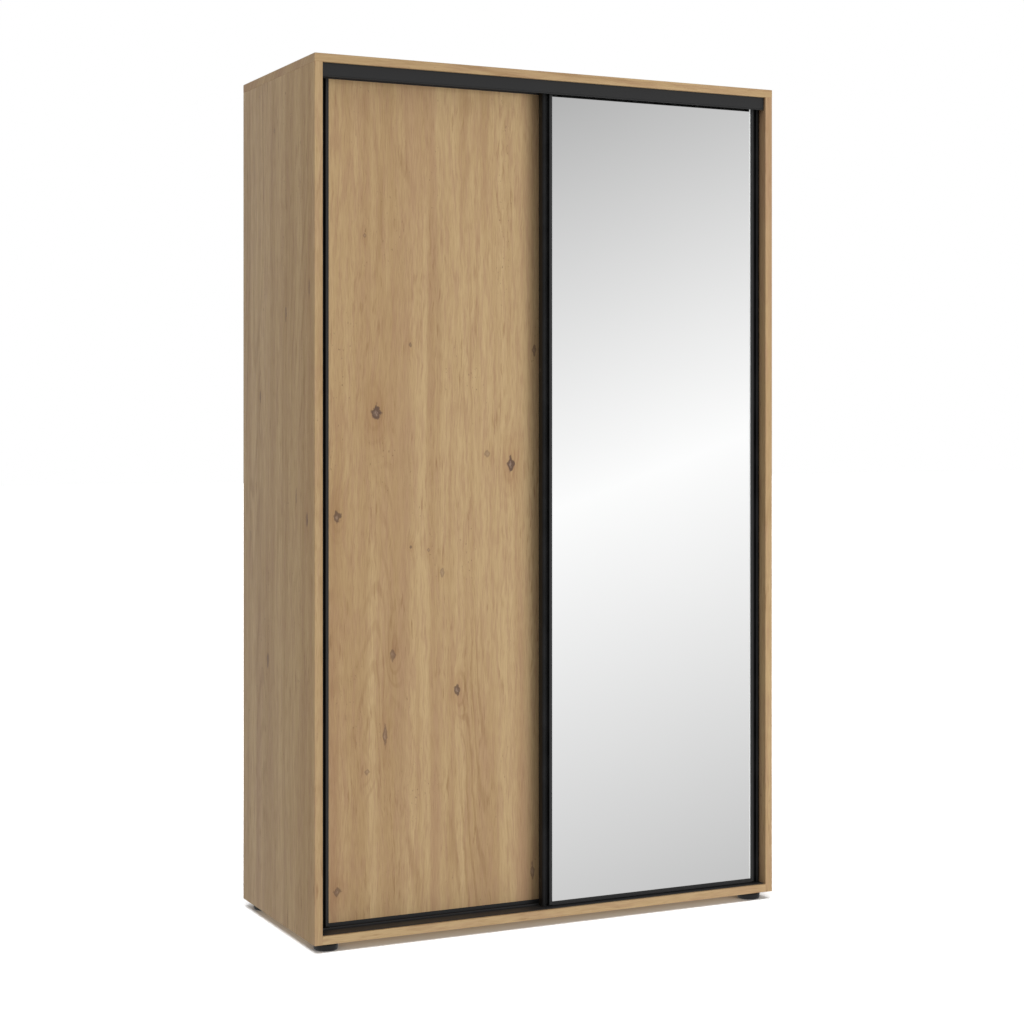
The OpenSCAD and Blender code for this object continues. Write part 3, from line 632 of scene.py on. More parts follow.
def steel(name, colours, grain_scale, rough_low, rough_high, relief):
    material, tree, shader = new_material(name)
    place = object_place(tree)
    inputs = {"Vector": place, "Scale": CRYSTAL_SCALE}
    crystals = add(tree, "ShaderNodeTexVoronoi", None, inputs).outputs[0]
    lines = noise(tree, stretched(tree, grain_scale), 1.0, 3.0, 0.6)
    worn = noise(tree, place, WEAR_SCALE, 4.0, 0.6)
    tree.links.new(blend_colours(tree, crystals, *colours), shader.inputs["Base Color"])
    mixed = calc(tree, "MULTIPLY_ADD", worn, 0.6, calc(tree, "MULTIPLY", lines, 0.4))
    rough_from(tree, shader, mixed, 0.3, 0.7, rough_low, rough_high)
    bumped(tree, shader, lines, relief, FINE_RELIEF)
    shader.inputs["Metallic"].default_value = 1.0
    return material


zinc = steel("zinc_plated_steel", ZINC, (900.0, 900.0, 900.0), 0.28, 0.46, 0.3)
chrome = steel("chromed_tube", CHROME, (30.0, 1400.0, 1400.0), 0.07, 0.20, 0.12)
print("steel materials:", zinc.name, chrome.name)

# %% [markdown]
# Moulded parts come out of spark-eroded moulds, so their skin is a fine even texture. Rubber is rougher
# and dusty, nylon is milky with slightly shiny worn spots, and the brush pile is a dull, deep black
# with a little sheen from its fibres.

# %% Plastic, rubber and pile materials
CLOUD_SCALE = 35.0
SKIN_RELIEF = 0.00006
ROUGH_SPREAD = 0.06


def moulded(name, dark, pale, texture, rough, relief, gloss=0.4, sheen=0.0):
    material, tree, shader = new_material(name)
    place = object_place(tree)
    skin = noise(tree, place, texture, 2.0)
    cloud = noise(tree, place, CLOUD_SCALE, 4.0, 0.6)
    colour = blend_colours(tree, fade(tree, cloud, 0.3, 0.7), dark, pale)
    tree.links.new(colour, shader.inputs["Base Color"])
    rough_from(tree, shader, cloud, 0.3, 0.7, rough - ROUGH_SPREAD, rough + ROUGH_SPREAD)
    bumped(tree, shader, skin, relief, SKIN_RELIEF)
    shader.inputs["Specular IOR Level"].default_value = gloss
    shader.inputs["Sheen Weight"].default_value = sheen
    return material


black_plastic = moulded("moulded_black", (0.008, 0.008, 0.0085, 1), (0.013, 0.013, 0.013, 1),
                        2600.0, 0.52, 0.5)
rubber = moulded("black_rubber", (0.012, 0.012, 0.012, 1), (0.022, 0.021, 0.020, 1),
                 900.0, 0.82, 0.6, gloss=0.3)
nylon = moulded("natural_nylon", (0.70, 0.68, 0.62, 1), (0.80, 0.79, 0.75, 1), 1500.0, 0.40, 0.2)
pile = moulded("brush_pile", (0.004, 0.004, 0.004, 1), (0.010, 0.010, 0.010, 1),
               3000.0, 0.90, 0.6, gloss=0.1, sheen=0.15)
print("moulded materials:", black_plastic.name, rubber.name, nylon.name, pile.name)

# %% [markdown]
# Three more wood finishes are seen from behind and when a door stands open. Hardboard is pressed
# fibre, brown with a felt of fine hairs. Particle board is chips of many tints laid flat, which
# Voronoi cells stretched along the board imitate. Beech is pale, with short dark flecks.

# %% Hardboard, particle board and beech
STAIN_SCALE = 5.0
STAIN_AMOUNT = 0.15
CHIP_RELIEF = 0.0002


def pressed_wood(name, dark, pale, chip_scales, hair_scales, chip_share, rough, relief):
    material, tree, shader = new_material(name)
    inputs = {"Vector": stretched(tree, chip_scales), "Scale": 1.0}
    chips = add(tree, "ShaderNodeTexVoronoi", None, inputs)
    tint = add(tree, "ShaderNodeSeparateColor", None, {0: chips.outputs["Color"]}).outputs[0]
    hairs = noise(tree, stretched(tree, hair_scales), 1.0, 4.0, 0.65)
    stains = noise(tree, object_place(tree), STAIN_SCALE, 4.0, 0.6)
    fine = calc(tree, "MULTIPLY", hairs, 1.0 - chip_share)
    mixed = calc(tree, "MULTIPLY_ADD", tint, chip_share, fine)
    colour = blend_colours(tree, fade(tree, mixed, 0.25, 0.75), dark, pale)
    colour = blend_colours(tree, fade(tree, stains, 0.45, 0.75, 0.0, STAIN_AMOUNT), colour, dark)
    tree.links.new(colour, shader.inputs["Base Color"])
    rough_from(tree, shader, hairs, 0.3, 0.7, rough - 0.08, rough + 0.08)
    bumped(tree, shader, mixed, relief, CHIP_RELIEF)
    shader.inputs["Specular IOR Level"].default_value = 0.25
    return material


hardboard = pressed_wood("hardboard", (0.215, 0.135, 0.078, 1), (0.300, 0.195, 0.115, 1),
                         (1900.0, 1900.0, 1100.0), (700.0, 700.0, 420.0), 0.35, 0.55, 0.3)
particle = pressed_wood("particle_board", (0.300, 0.195, 0.105, 1), (0.560, 0.410, 0.250, 1),
                        (260.0, 260.0, 110.0), (700.0, 700.0, 240.0), 0.65, 0.80, 0.6)
beech = pressed_wood("beech", (0.480, 0.320, 0.180, 1), (0.680, 0.490, 0.300, 1),
                     (500.0, 500.0, 500.0), (900.0, 900.0, 90.0), 0.15, 0.60, 0.4)
print("pressed wood:", hardboard.name, particle.name, beech.name)

# %% [markdown]
# A mirror is a coat of silver behind clear glass. Only two things of the glass itself are seen: a
# faint grey-green cast, and the ground border, a narrow sloping facet that stays bright whatever the
# mirror shows. Real glass never is perfectly clean or flat, so a very slow wave bends the reflection
# by a hair and a trace of dust roughens it.

# %% Mirror materials
SILVER_TONES = ((0.898, 0.901, 0.900, 1), (0.910, 0.912, 0.911, 1))
GROUND_TONES = ((0.86, 0.88, 0.875, 1), (0.95, 0.96, 0.955, 1))
WAVE_SCALE = 3.0
WAVE_RELIEF = 0.0004
DUST_SCALE = 26.0
SCRATCH_SCALES = (2500.0, 2500.0, 220.0)


def silvered_glass():
    material, tree, shader = new_material("silvered_glass")
    place = object_place(tree)
    cast = fade(tree, noise(tree, place, 1.4, 2.0), 0.35, 0.65)
    tree.links.new(blend_colours(tree, cast, *SILVER_TONES), shader.inputs["Base Color"])
    dust = noise(tree, place, DUST_SCALE, 5.0, 0.7)
    rough_from(tree, shader, dust, 0.55, 0.85, 0.0, 0.05)
    bumped(tree, shader, noise(tree, place, WAVE_SCALE, 1.0), 0.04, WAVE_RELIEF)
    shader.inputs["Metallic"].default_value = 1.0
    return material


def ground_glass():
    material, tree, shader = new_material("ground_glass_border")
    scratches = noise(tree, stretched(tree, SCRATCH_SCALES), 1.0, 3.0, 0.6)
    tree.links.new(blend_colours(tree, scratches, *GROUND_TONES), shader.inputs["Base Color"])
    rough_from(tree, shader, scratches, 0.3, 0.7, 0.28, 0.42)
    bumped(tree, shader, scratches, 0.25, FINE_RELIEF)
    shader.inputs["Specular IOR Level"].default_value = 0.6
    return material


silver, ground = silvered_glass(), ground_glass()
print("mirror materials:", silver.name, ground.name)

# %% [markdown]
# The sawn boards and extruded profiles have slightly broken edges, and these catch the light. A Bevel
# modifier would also chew at every bore, so each board is copied, its loose triangles are merged into
# whole faces, and only the long outer edges are bevelled. Round parts keep their facets but are
# shaded smooth. The copy stands for the frame's own node, which stays behind it for collision,
# hidden.

# %% Finished copies
MERGE_WITHIN = 1e-6
FLAT_WITHIN = math.radians(0.3)
CORNER_FROM = math.radians(40)
SHARP_FROM = math.radians(25)
LONG_EDGE = 0.1
pieces_made = {}


def merged_copy(node_name):
    copy = bmesh.new()
    copy.from_mesh(frame["nodes"][node_name].data)
    bmesh.ops.remove_doubles(copy, verts=copy.verts, dist=MERGE_WITHIN)
    bmesh.ops.dissolve_limit(copy, angle_limit=FLAT_WITHIN, use_dissolve_boundaries=False,
                             verts=copy.verts, edges=copy.edges, delimit=set())
    return copy


def break_edges(copy, width):
    corners = [edge for edge in copy.edges
               if edge.is_manifold and edge.is_convex and edge.calc_length() > LONG_EDGE
               and edge.calc_face_angle() > CORNER_FROM]
    if corners:
        bmesh.ops.bevel(copy, geom=corners, offset=width, offset_type="OFFSET", segments=2,
                        profile=0.5, affect="EDGES", clamp_overlap=False)


def as_piece(name, mesh, materials, body, slot, *nodes):
    for material in materials:
        mesh.materials.append(material)
    mesh.shade_smooth()
    mesh.set_sharp_from_angle(angle=SHARP_FROM)
    piece = bpy.data.objects.new(name, mesh)
    bpy.context.scene.collection.objects.link(piece)
    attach(piece, body)
    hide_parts(*nodes)
    pieces_made[name] = piece
    return piece


def body_name(node_name):
    return body_of(frame["nodes"][node_name])[0]


def as_mesh(name, shape):
    mesh = bpy.data.meshes.new(name)
    shape.to_mesh(mesh)
    shape.free()
    return mesh


def stand_in(node_name, mesh, material, slot):
    """The piece that shows in the place of one node of the frame"""
    name = node_name + "_finished"
    return as_piece(name, mesh, [material], body_name(node_name), slot, node_name)


def finish_node(node_name, material, slot, width=0.0):
    copy = merged_copy(node_name)
    if width:
        break_edges(copy, width)
    stand_in(node_name, as_mesh(node_name + "_finished", copy), material, slot)


print("helpers for finished copies ready")

# %% Boards and profiles
BOARD_EDGE = 0.0005
PROFILE_EDGE = 0.0003
for board, material in oak_of.items():
    width = 0.0 if board == "left_door_panel" else BOARD_EDGE
    finish_node(board, material, "oak_decor_board", width)
for door in DOORS:
    for hand in HANDS:
        stile = door + "_stile_" + hand
        finish_node(stile, black_of[stile], "black_aluminium", PROFILE_EDGE)
    for rail in ("top_rail", "bottom_rail"):
        finish_node(door + "_" + rail, black_of["track"], "black_aluminium", PROFILE_EDGE)
for track in ("top_track", "bottom_track"):
    finish_node(track, black_of["track"], "black_aluminium", PROFILE_EDGE)
print("finished copies:", len(pieces_made))

# %% [markdown]
# The small parts are turned, stamped or moulded, and the frame already gives their whole shape: the
# feet, the rail and its cups, the pins and cams, the rollers with their brackets and axles, the guide
# blocks and the end caps. They need no new geometry, only merged faces, smooth shading with sharp
# corners kept, and the right material. A table is enough to say which is which.

# %% Small parts
SMALL_PARTS = (
    ("foot_front_left", black_plastic, "black_plastic"),
    ("foot_front_right", black_plastic, "black_plastic"),
    ("foot_back_left", black_plastic, "black_plastic"),
    ("foot_back_right", black_plastic, "black_plastic"),
    ("rail_brackets", chrome, "chrome_rail"), ("hanging_rail", chrome, "chrome_rail"),
    ("track_stops", rubber, "black_rubber"), ("shelf_pins", zinc, "zinc_steel"),
    ("cam_locks", zinc, "zinc_steel"), ("cam_bolts", zinc, "zinc_steel"),
)
DOOR_SMALL_PARTS = (
    ("end_caps", black_plastic, "black_plastic"), ("guide_blocks", black_plastic, "black_plastic"),
    ("roller_brackets", zinc, "zinc_steel"), ("axles", zinc, "zinc_steel"),
    ("wheel_left", nylon, "nylon"), ("wheel_right", nylon, "nylon"),
    ("guide_roller_left", nylon, "nylon"), ("guide_roller_right", nylon, "nylon"),
)
for name, material, slot in SMALL_PARTS:
    finish_node(name, material, slot)
for door in DOORS:
    for name, material, slot in DOOR_SMALL_PARTS:
        finish_node(door + "_" + name, material, slot)
print("pieces so far:", len(pieces_made))

# %% [markdown]
# The mirror pane is a flat sheet whose border is ground to a slope. Only the two long sides show it,
# beside the stiles: a hair of it on the left and a bright line on the right. The pane could be a box
# with a bevel, but its slopes start where the stiles' lips end, so it is drawn as one section across
# the pane and pulled up its height.

# %% Mirror pane
FACET_WIDTH = 0.0045
FACET_DROP = 0.0012
SEEN_SLOPE = 0.0012
FRONT_SIDE = 2


def mirror_pane():
    low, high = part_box("right_door_mirror")
    left_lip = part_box("right_door_stile_left")[1].x
    right_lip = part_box("right_door_stile_right")[0].x
    sunk = low.y + FACET_DROP
    section = [(low.x, sunk), (left_lip, sunk), (left_lip + SEEN_SLOPE, low.y),
               (right_lip - FACET_WIDTH, low.y), (right_lip, sunk), (high.x, sunk),
               (high.x, high.y), (low.x, high.y)]
    pane = bmesh.new()
    rings = [[pane.verts.new((x, y, z)) for x, y in section] for z in (low.z, high.z)]
    count = len(section)
    for number in range(count):
        nearer, further = number, (number + 1) % count
        corners = (rings[0][nearer], rings[0][further], rings[1][further], rings[1][nearer])
        pane.faces.new(corners).material_index = 0 if number == FRONT_SIDE else 1
    for ring in (rings[0][::-1], rings[1]):
        pane.faces.new(ring).material_index = 1
    bmesh.ops.recalc_face_normals(pane, faces=pane.faces)
    return as_mesh("right_door_mirror_pane", pane)


pane_mesh = mirror_pane()
as_piece("right_door_mirror_pane", pane_mesh, [silver, ground], "right_door", "mirror_glass",
         "right_door_mirror")
for polygon in pane_mesh.polygons:
    polygon.use_smooth = False
print("mirror pane faces:", len(pane_mesh.polygons))

# %% [markdown]
# Screws and nails repeat, so Geometry Nodes make them. The frame already says where each one is, which
# way its head faces and how big it is: every loose shell of a fastener node is measured along its
# longest side, and the wider end is the head. Fasteners of the same size share one run of the tree.

# %% The shells of a node


def shells(node_name):
    """The corners of every loose shell of a node, in the order of the node's mesh"""
    copy = merged_copy(node_name)
    seen, found = set(), []
    for start in copy.verts:
        if start in seen:
            continue
        seen.add(start)
        reached, front = [], [start]
        while front:
            corner = front.pop()
            reached.append(corner.co.copy())
            for edge in corner.link_edges:
                other = edge.other_vert(corner)
                if other not in seen:
                    seen.add(other)
                    front.append(other)
        found.append(reached)
    copy.free()
    return found


print("shells of the back nails:", len(shells("back_nails")))

# %% Measure the fasteners
END_DEPTH = 0.0003
SHANK_SLACK = 0.0001
SAME_LEVEL = 1e-5


def measure(points):
    low = Vector(min(p[axis] for p in points) for axis in range(3))
    high = Vector(max(p[axis] for p in points) for axis in range(3))
    size, middle = high - low, (low + high) / 2
    axis = max(range(3), key=lambda number: size[number])

    def radius(point):
        flat = point - middle
        flat[axis] = 0.0
        return flat.length

    ends = {}
    for sign, level in ((-1, low[axis]), (1, high[axis])):
        ends[sign] = max(radius(p) for p in points if abs(p[axis] - level) < END_DEPTH)
    facing = max(ends, key=ends.get)
    top = (high if facing > 0 else low)[axis]
    shank = ends[-facing]
    steps = [abs(p[axis] - top) for p in points if radius(p) < shank + SHANK_SLACK]
    head = min(step for step in steps if step > SAME_LEVEL)
    place = middle.copy()
    place[axis] = top
    direction = Vector((0, 0, 0))
    direction[axis] = facing
    sizes = tuple(round(value, 4) for value in (ends[facing], head, shank, size[axis]))
    return place, direction, sizes


def fastener_groups(node_name):
    groups = {}
    for points in shells(node_name):
        place, direction, sizes = measure(points)
        groups.setdefault(sizes, []).append((place, direction))
    return groups


FASTENER_NODES = ("carcass_screws", "track_screws", "left_door_screws", "right_door_screws",
                  "back_nails")
fasteners = {name: fastener_groups(name) for name in FASTENER_NODES}
for name, groups in fasteners.items():
    print(name, {sizes: len(places) for sizes, places in groups.items()})

# %% [markdown]
# Three trees follow: for screws, for nails and for the tufts of the brush seals. All work alike. A
# tree takes a mesh whose corners are the places, has named inputs for its sizes, sets its shape on each
# place, makes the instances real and sets the material itself. The alternative, a Python loop that
# copies a mesh to every place, makes the same shape but can't be tuned from the modifier's panel.

# %% Geometry tree helpers


def geometry_tree(name, sizes):
    tree = bpy.data.node_groups.new(name, "GeometryNodeTree")
    tree.interface.new_socket("Geometry", in_out="OUTPUT", socket_type="NodeSocketGeometry")
    tree.interface.new_socket("Places", in_out="INPUT", socket_type="NodeSocketGeometry")
    for label, value in sizes.items():
        kind = "NodeSocketInt" if isinstance(value, int) else "NodeSocketFloat"
        tree.interface.new_socket(label, in_out="INPUT", socket_type=kind).default_value = value
    tree.interface.new_socket("Finish", in_out="INPUT", socket_type="NodeSocketMaterial")
    return tree, add(tree, "NodeGroupInput").outputs, add(tree, "NodeGroupOutput").inputs


def moved(tree, geometry, x=0.0, y=0.0, z=0.0):
    inputs = {"Geometry": geometry, "Translation": vector(tree, x, y, z)}
    return add(tree, "GeometryNodeTransform", None, inputs).outputs[0]


def joined(tree, *parts):
    join = add(tree, "GeometryNodeJoinGeometry")
    for part in parts:
        tree.links.new(part, join.inputs[0])
    return join.outputs[0]


def end_tree(tree, source, sink, shape, lean=None, trim=(1.0, 1.0, 1.0)):
    """Puts the shape on every place, its top at the place and its +Z along the place's facing"""
    settings = {"data_type": "FLOAT_VECTOR"}
    stored = add(tree, "GeometryNodeInputNamedAttribute", settings, {"Name": "facing"})
    facing = stored.outputs[0]
    if lean:
        leaning = {0: facing, 1: lean}
        facing = add(tree, "ShaderNodeVectorMath", {"operation": "ADD"}, leaning).outputs[0]
    turn = add(tree, "FunctionNodeAlignRotationToVector", {"axis": "Z"}, {"Vector": facing})
    spots = add(tree, "GeometryNodeMeshToPoints", None, {"Mesh": source["Places"]})
    laid = add(tree, "GeometryNodeInstanceOnPoints", None,
               {"Points": spots.outputs[0], "Instance": shape, "Rotation": turn.outputs[0],
                "Scale": trim})
    real = add(tree, "GeometryNodeRealizeInstances", None, {"Geometry": laid.outputs[0]})
    last = add(tree, "GeometryNodeSetMaterial", None,
               {"Geometry": real.outputs[0], "Material": source["Finish"]})
    tree.links.new(last.outputs[0], sink[0])


def share(tree, value, part):
    return calc(tree, "MULTIPLY", value, part)


def cone(tree, sides, top, bottom, depth):
    return add(tree, "GeometryNodeMeshCone", None,
               {"Vertices": sides, "Radius Top": top, "Radius Bottom": bottom,
                "Depth": depth}).outputs["Mesh"]


def cylinder(tree, sides, radius, depth):
    return add(tree, "GeometryNodeMeshCylinder", None,
               {"Vertices": sides, "Radius": radius, "Depth": depth}).outputs["Mesh"]


print("geometry tree helpers ready")

# %% [markdown]
# One screw is a countersunk head with a cross recess, a core with a point, and a thread wound round
# it as a spiral with a three-sided profile. The recess is the only boolean: two crossed bars taken out
# of the head, one a little deeper than the other, so that their floors never lie in one plane. All
# proportions are shares of the head or the shank, so that one tree makes every size.

# %% The screw tree
HEAD_SIDES = 20
CORE_SIDES = 10
THREAD_STEPS = 12
CORE_SHARE = 0.78
THREAD_SHARE = 0.86
RIDGE_SHARE = 0.15
SHAFT_SHARE = 0.84
RECESS_ARM, RECESS_WIDTH = 1.15, 0.26
RECESS_DEEP, RECESS_DEEPER = 1.3, 1.42
SCREW_TIP = 0.0002


def screw_tree():
    sizes = {"Head radius": 0.0034, "Head height": 0.0022, "Shank radius": 0.0018, "Length": 0.0105,
             "Pitch": 0.0014}
    tree, source, sink = geometry_tree("countersunk_screw", sizes)
    head_r, head_h, shank_r = source["Head radius"], source["Head height"], source["Shank radius"]
    core_r = share(tree, shank_r, CORE_SHARE)
    thread_r = share(tree, shank_r, THREAD_SHARE)
    body = calc(tree, "SUBTRACT", source["Length"], head_h)
    below = share(tree, head_h, -1.0)

    head = moved(tree, cone(tree, HEAD_SIDES, head_r, core_r, head_h), z=below)
    arm, width = share(tree, head_r, RECESS_ARM), share(tree, head_r, RECESS_WIDTH)
    deep, deeper = share(tree, head_h, RECESS_DEEP), share(tree, head_h, RECESS_DEEPER)
    for size in ((arm, width, deep), (width, arm, deeper)):
        bar = add(tree, "GeometryNodeMeshCube", None, {"Size": vector(tree, *size)})
        head = add(tree, "GeometryNodeMeshBoolean", {"operation": "DIFFERENCE"},
                   {"Mesh 1": head, "Mesh 2": bar.outputs["Mesh"]}).outputs["Mesh"]

    shaft_h = share(tree, body, SHAFT_SHARE)
    middle = calc(tree, "SUBTRACT", below, share(tree, shaft_h, 0.5))
    shaft = moved(tree, cylinder(tree, CORE_SIDES, core_r, shaft_h), z=middle)
    tip_h = calc(tree, "SUBTRACT", body, shaft_h)
    tip = cone(tree, CORE_SIDES, core_r, SCREW_TIP, tip_h)
    tip = moved(tree, tip, z=share(tree, source["Length"], -1.0))

    turns = calc(tree, "DIVIDE", shaft_h, source["Pitch"])
    helix = add(tree, "GeometryNodeCurveSpiral", None,
                {"Resolution": THREAD_STEPS, "Rotations": turns, "Start Radius": thread_r,
                 "End Radius": thread_r, "Height": shaft_h}).outputs[0]
    ridge = add(tree, "GeometryNodeCurvePrimitiveCircle", {"mode": "RADIUS"},
                {"Resolution": 3, "Radius": share(tree, shank_r, RIDGE_SHARE)}).outputs[0]
    thread = add(tree, "GeometryNodeCurveToMesh", None,
                 {"Curve": helix, "Profile Curve": ridge, "Fill Caps": True}).outputs[0]
    thread = moved(tree, thread, z=calc(tree, "SUBTRACT", below, shaft_h))
    end_tree(tree, source, sink, joined(tree, head, shaft, tip, thread))
    return tree


screws = screw_tree()
print("screw tree:", len(screws.nodes), "nodes")

# %% [markdown]
# A back panel is held by small wire nails whose domed heads show as two rows of dots. There are more
# than a hundred, so each has only a few dozen faces: a low dome, a six-sided wire and its point.

# %% The nail tree
NAIL_SIDES = 10
WIRE_SIDES = 6
RIM_SHARE, DOME_SHARE = 0.45, 0.55
RIM_FOOT, DOME_TOP = 0.92, 0.55
WIRE_SHARE = 0.85
NAIL_TIP = 0.0001


def nail_tree():
    sizes = {"Head radius": 0.0025, "Head height": 0.001, "Shank radius": 0.0008, "Length": 0.015}
    tree, source, sink = geometry_tree("wire_nail", sizes)
    head_r, head_h, shank_r = source["Head radius"], source["Head height"], source["Shank radius"]
    rim_h, dome_h = share(tree, head_h, RIM_SHARE), share(tree, head_h, DOME_SHARE)
    below = share(tree, head_h, -1.0)
    rim = cone(tree, NAIL_SIDES, head_r, share(tree, head_r, RIM_FOOT), rim_h)
    dome = cone(tree, NAIL_SIDES, share(tree, head_r, DOME_TOP), head_r, dome_h)
    body = calc(tree, "SUBTRACT", source["Length"], head_h)
    wire_h = share(tree, body, WIRE_SHARE)
    wire = cylinder(tree, WIRE_SIDES, shank_r, wire_h)
    point = cone(tree, WIRE_SIDES, shank_r, NAIL_TIP, calc(tree, "SUBTRACT", body, wire_h))
    parts = (moved(tree, rim, z=below), moved(tree, dome, z=share(tree, dome_h, -1.0)),
             moved(tree, wire, z=calc(tree, "SUBTRACT", below, share(tree, wire_h, 0.5))),
             moved(tree, point, z=share(tree, source["Length"], -1.0)))
    end_tree(tree, source, sink, joined(tree, *parts))
    return tree


nails = nail_tree()
print("nail tree:", len(nails.nodes), "nodes")

# %% [markdown]
# A tree runs as a modifier on a small mesh of places. Each input is set through its socket's
# identifier before the mesh is first evaluated, and the evaluated result is copied out as a plain mesh,
# because a piece of the wardrobe must not depend on a live modifier. Runs for different sizes of the
# same node are then joined, and their faces turned outwards.

# %% Run a tree over its places


def places_mesh(name, places):
    mesh = bpy.data.meshes.new(name)
    mesh.from_pydata([tuple(place) for place, _ in places], [], [])
    facing = mesh.attributes.new("facing", "FLOAT_VECTOR", "POINT")
    for number, (_, direction) in enumerate(places):
        facing.data[number].vector = direction
    return mesh


def grown(name, tree, places, sizes, material):
    """The plain mesh that the tree makes of the places, with the sizes given by socket name"""
    carrier = bpy.data.objects.new(name, places_mesh(name, places))
    bpy.context.scene.collection.objects.link(carrier)
    modifier = carrier.modifiers.new("grow", "NODES")
    modifier.node_group = tree
    for socket in tree.interface.items_tree:
        if socket.in_out == "INPUT" and socket.name in sizes:
            modifier[socket.identifier] = sizes[socket.name]
        elif socket.in_out == "INPUT" and socket.name == "Finish":
            modifier[socket.identifier] = material
    carrier.update_tag()
    bpy.context.view_layer.update()
    graph = bpy.context.evaluated_depsgraph_get()
    mesh = bpy.data.meshes.new_from_object(carrier.evaluated_get(graph))
    carrier.modifiers.remove(modifier)
    bpy.data.objects.remove(carrier)
    return mesh


def gather(name, meshes):
    whole = bmesh.new()
    for mesh in meshes:
        whole.from_mesh(mesh)
    bmesh.ops.recalc_face_normals(whole, faces=whole.faces)
    return as_mesh(name, whole)


print("ready to run", screws.name, "and", nails.name)

# %% Screws and nails
SIZE_LABELS = ("Head radius", "Head height", "Shank radius", "Length")
for node_name, groups in fasteners.items():
    tree = nails if node_name == "back_nails" else screws
    grown_sets = [grown(node_name, tree, places, dict(zip(SIZE_LABELS, sizes)), zinc)
                  for sizes, places in groups.items()]
    mesh = gather(node_name + "_finished", grown_sets)
    stand_in(node_name, mesh, zinc, "zinc_steel")
    print(node_name, "faces:", len(mesh.polygons))

# %% [markdown]
# The brush seals close the gap beside a door against dust. A seal is a black backing strip with tufts
# of fine bristles. Hair particles would do, but they don't export, so a tree lays rows of thin tufts
# along the strip, and a fixed seed leans each tuft a little and trims it unevenly.

# %% The brush tree
TUFT_SIDES = 4
TUFT_RADIUS = 0.00055
TUFT_TAPER = 0.7
TUFT_LEAN = 0.10
SHORTEST_TUFT = 0.86
TRIM_STREAM = 5
BRUSH_SEED = 7


def brush_tree():
    sizes = {"Tuft radius": TUFT_RADIUS, "Tuft length": 0.010, "Lean": TUFT_LEAN, "Seed": BRUSH_SEED}
    tree, source, sink = geometry_tree("brush_tufts", sizes)

    def chance(low, high, stream):
        seed = calc(tree, "ADD", source["Seed"], float(stream))
        inputs = {"Min": low, "Max": high, "Seed": seed}
        settings = {"data_type": "FLOAT"}
        return add(tree, "FunctionNodeRandomValue", settings, inputs).outputs["Value"]

    tuft = add(tree, "GeometryNodeMeshCone", {"fill_type": "TRIANGLE_FAN"},
               {"Vertices": TUFT_SIDES, "Radius Top": share(tree, source["Tuft radius"], TUFT_TAPER),
                "Radius Bottom": source["Tuft radius"],
                "Depth": source["Tuft length"]}).outputs["Mesh"]
    back = share(tree, source["Lean"], -1.0)
    lean = vector(tree, *[chance(back, source["Lean"], stream) for stream in range(3)])
    trim = vector(tree, 1.0, 1.0, chance(SHORTEST_TUFT, 1.0, TRIM_STREAM))
    end_tree(tree, source, sink, tuft, lean, trim)
    return tree


brush_tufts = brush_tree()
print("brush tree:", len(brush_tufts.nodes), "nodes")

# %% [markdown]
# A seal's tufts stand in four staggered rows, so that hardly any light passes through. The backing
# strip is a bar with its long corners broken, joined to the tufts, since the two are one part when
# bought. The left door's seal closes the gap to the side panel, the right door's the gap to the door
# behind it.

# %% Brush seals
TUFT_SPACING = 0.0014
TUFT_ROWS = (-0.0021, -0.0007, 0.0007, 0.0021)
STAGGER = 0.5
END_MARGIN = 0.001
ROOT_DEPTH = 0.8
TIP_ALLOWANCE = 0.985
BACKING = 0.002
BACKING_WIDTH = 0.010
BACKING_CORNER = 0.0004


def tuft_places(low, high, axis, across, root, direction):
    middle = (low[across] + high[across]) / 2
    start = low.z + END_MARGIN + TUFT_RADIUS
    count = int((high.z - low.z - 2 * TUFT_RADIUS - 2 * END_MARGIN) / TUFT_SPACING)
    places = []
    for step in range(count):
        for row, offset in enumerate(TUFT_ROWS):
            place = Vector((0.0, 0.0, start + (step + STAGGER * (row % 2)) * TUFT_SPACING))
            place[axis] = root + direction[axis] * BACKING * ROOT_DEPTH
            place[across] = middle + offset
            places.append((place, Vector(direction)))
    return places


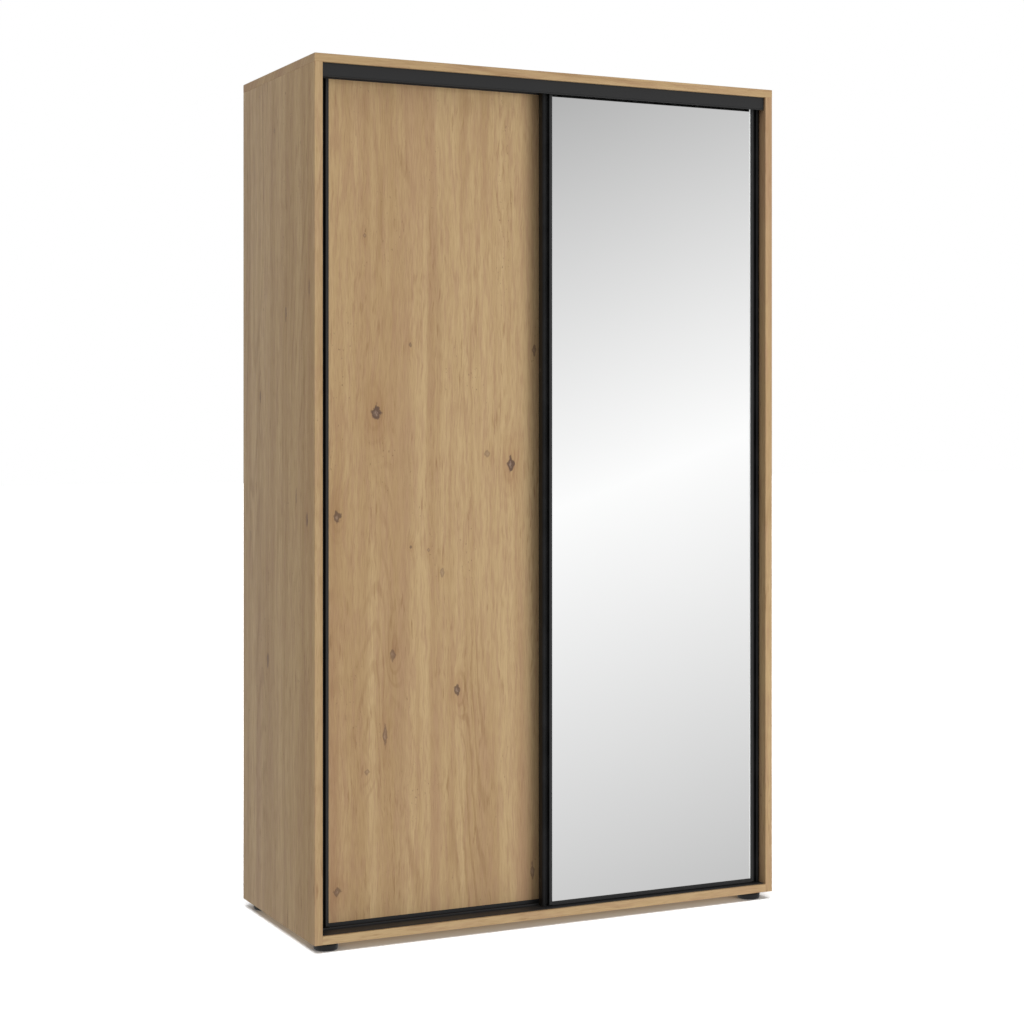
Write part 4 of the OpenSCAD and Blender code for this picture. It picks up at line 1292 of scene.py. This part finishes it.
def add_backing(strip, low, high, axis, across, root, direction):
    made = bmesh.ops.create_cube(strip, size=1.0)["verts"]
    size = Vector((0, 0, high.z - low.z))
    centre = (low + high) / 2
    size[axis], size[across] = BACKING, BACKING_WIDTH
    centre[axis] = root + direction[axis] * BACKING / 2
    for corner in made:
        corner.co = Vector(corner.co[i] * size[i] for i in range(3)) + centre
    edges = {edge for corner in made for edge in corner.link_edges if edge.calc_length() > LONG_EDGE}
    bmesh.ops.bevel(strip, geom=list(edges), offset=BACKING_CORNER, segments=2, affect="EDGES",
                    clamp_overlap=False)


def brush_seal(node_name, direction):
    """direction is the unit vector along which the bristles stand"""
    low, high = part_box(node_name)
    axis = max((0, 1), key=lambda number: abs(direction[number]))
    across = 1 - axis
    root, end = (high, low) if direction[axis] < 0 else (low, high)
    root, end = root[axis], end[axis]
    places = tuft_places(low, high, axis, across, root, direction)
    length = (abs(end - root) - BACKING * ROOT_DEPTH) * TIP_ALLOWANCE
    strip = bmesh.new()
    strip.from_mesh(grown(node_name, brush_tufts, places, {"Tuft length": length}, pile))
    add_backing(strip, low, high, axis, across, root, direction)
    mesh = as_mesh(node_name + "_finished", strip)
    stand_in(node_name, mesh, pile, "pile_seal")
    print(node_name, "tufts:", len(places), "faces:", len(mesh.polygons))


brush_seal("left_door_brush", (-1.0, 0.0, 0.0))
brush_seal("right_door_brush", (0.0, 1.0, 0.0))

# %% [markdown]
# A few parts are plain sheets or pins whose shape is complete in the frame: the two hardboard backs,
# the board behind the mirror and the dowels. They stay as they are and only take their material.

# %% Nodes that keep their own shape
KEPT_NODES = {
    "back_panel_left": hardboard, "back_panel_right": hardboard, "right_door_backing": particle,
    "dowels": beech,
}
for name, material in KEPT_NODES.items():
    node = frame["nodes"][name]
    node.data.materials.clear()
    node.data.materials.append(material)
shown = [name for name, node in frame["nodes"].items() if not node.hide_render]
print("frame nodes still shown:", sorted(shown))

# %% [markdown]
# The visual model must be as large as the designed one, neither more nor less. Its box is printed to
# close the lesson.

# %% Finish
low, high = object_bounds()
print("box of the visual model:", [round(c, 4) for c in (*low, *high)])
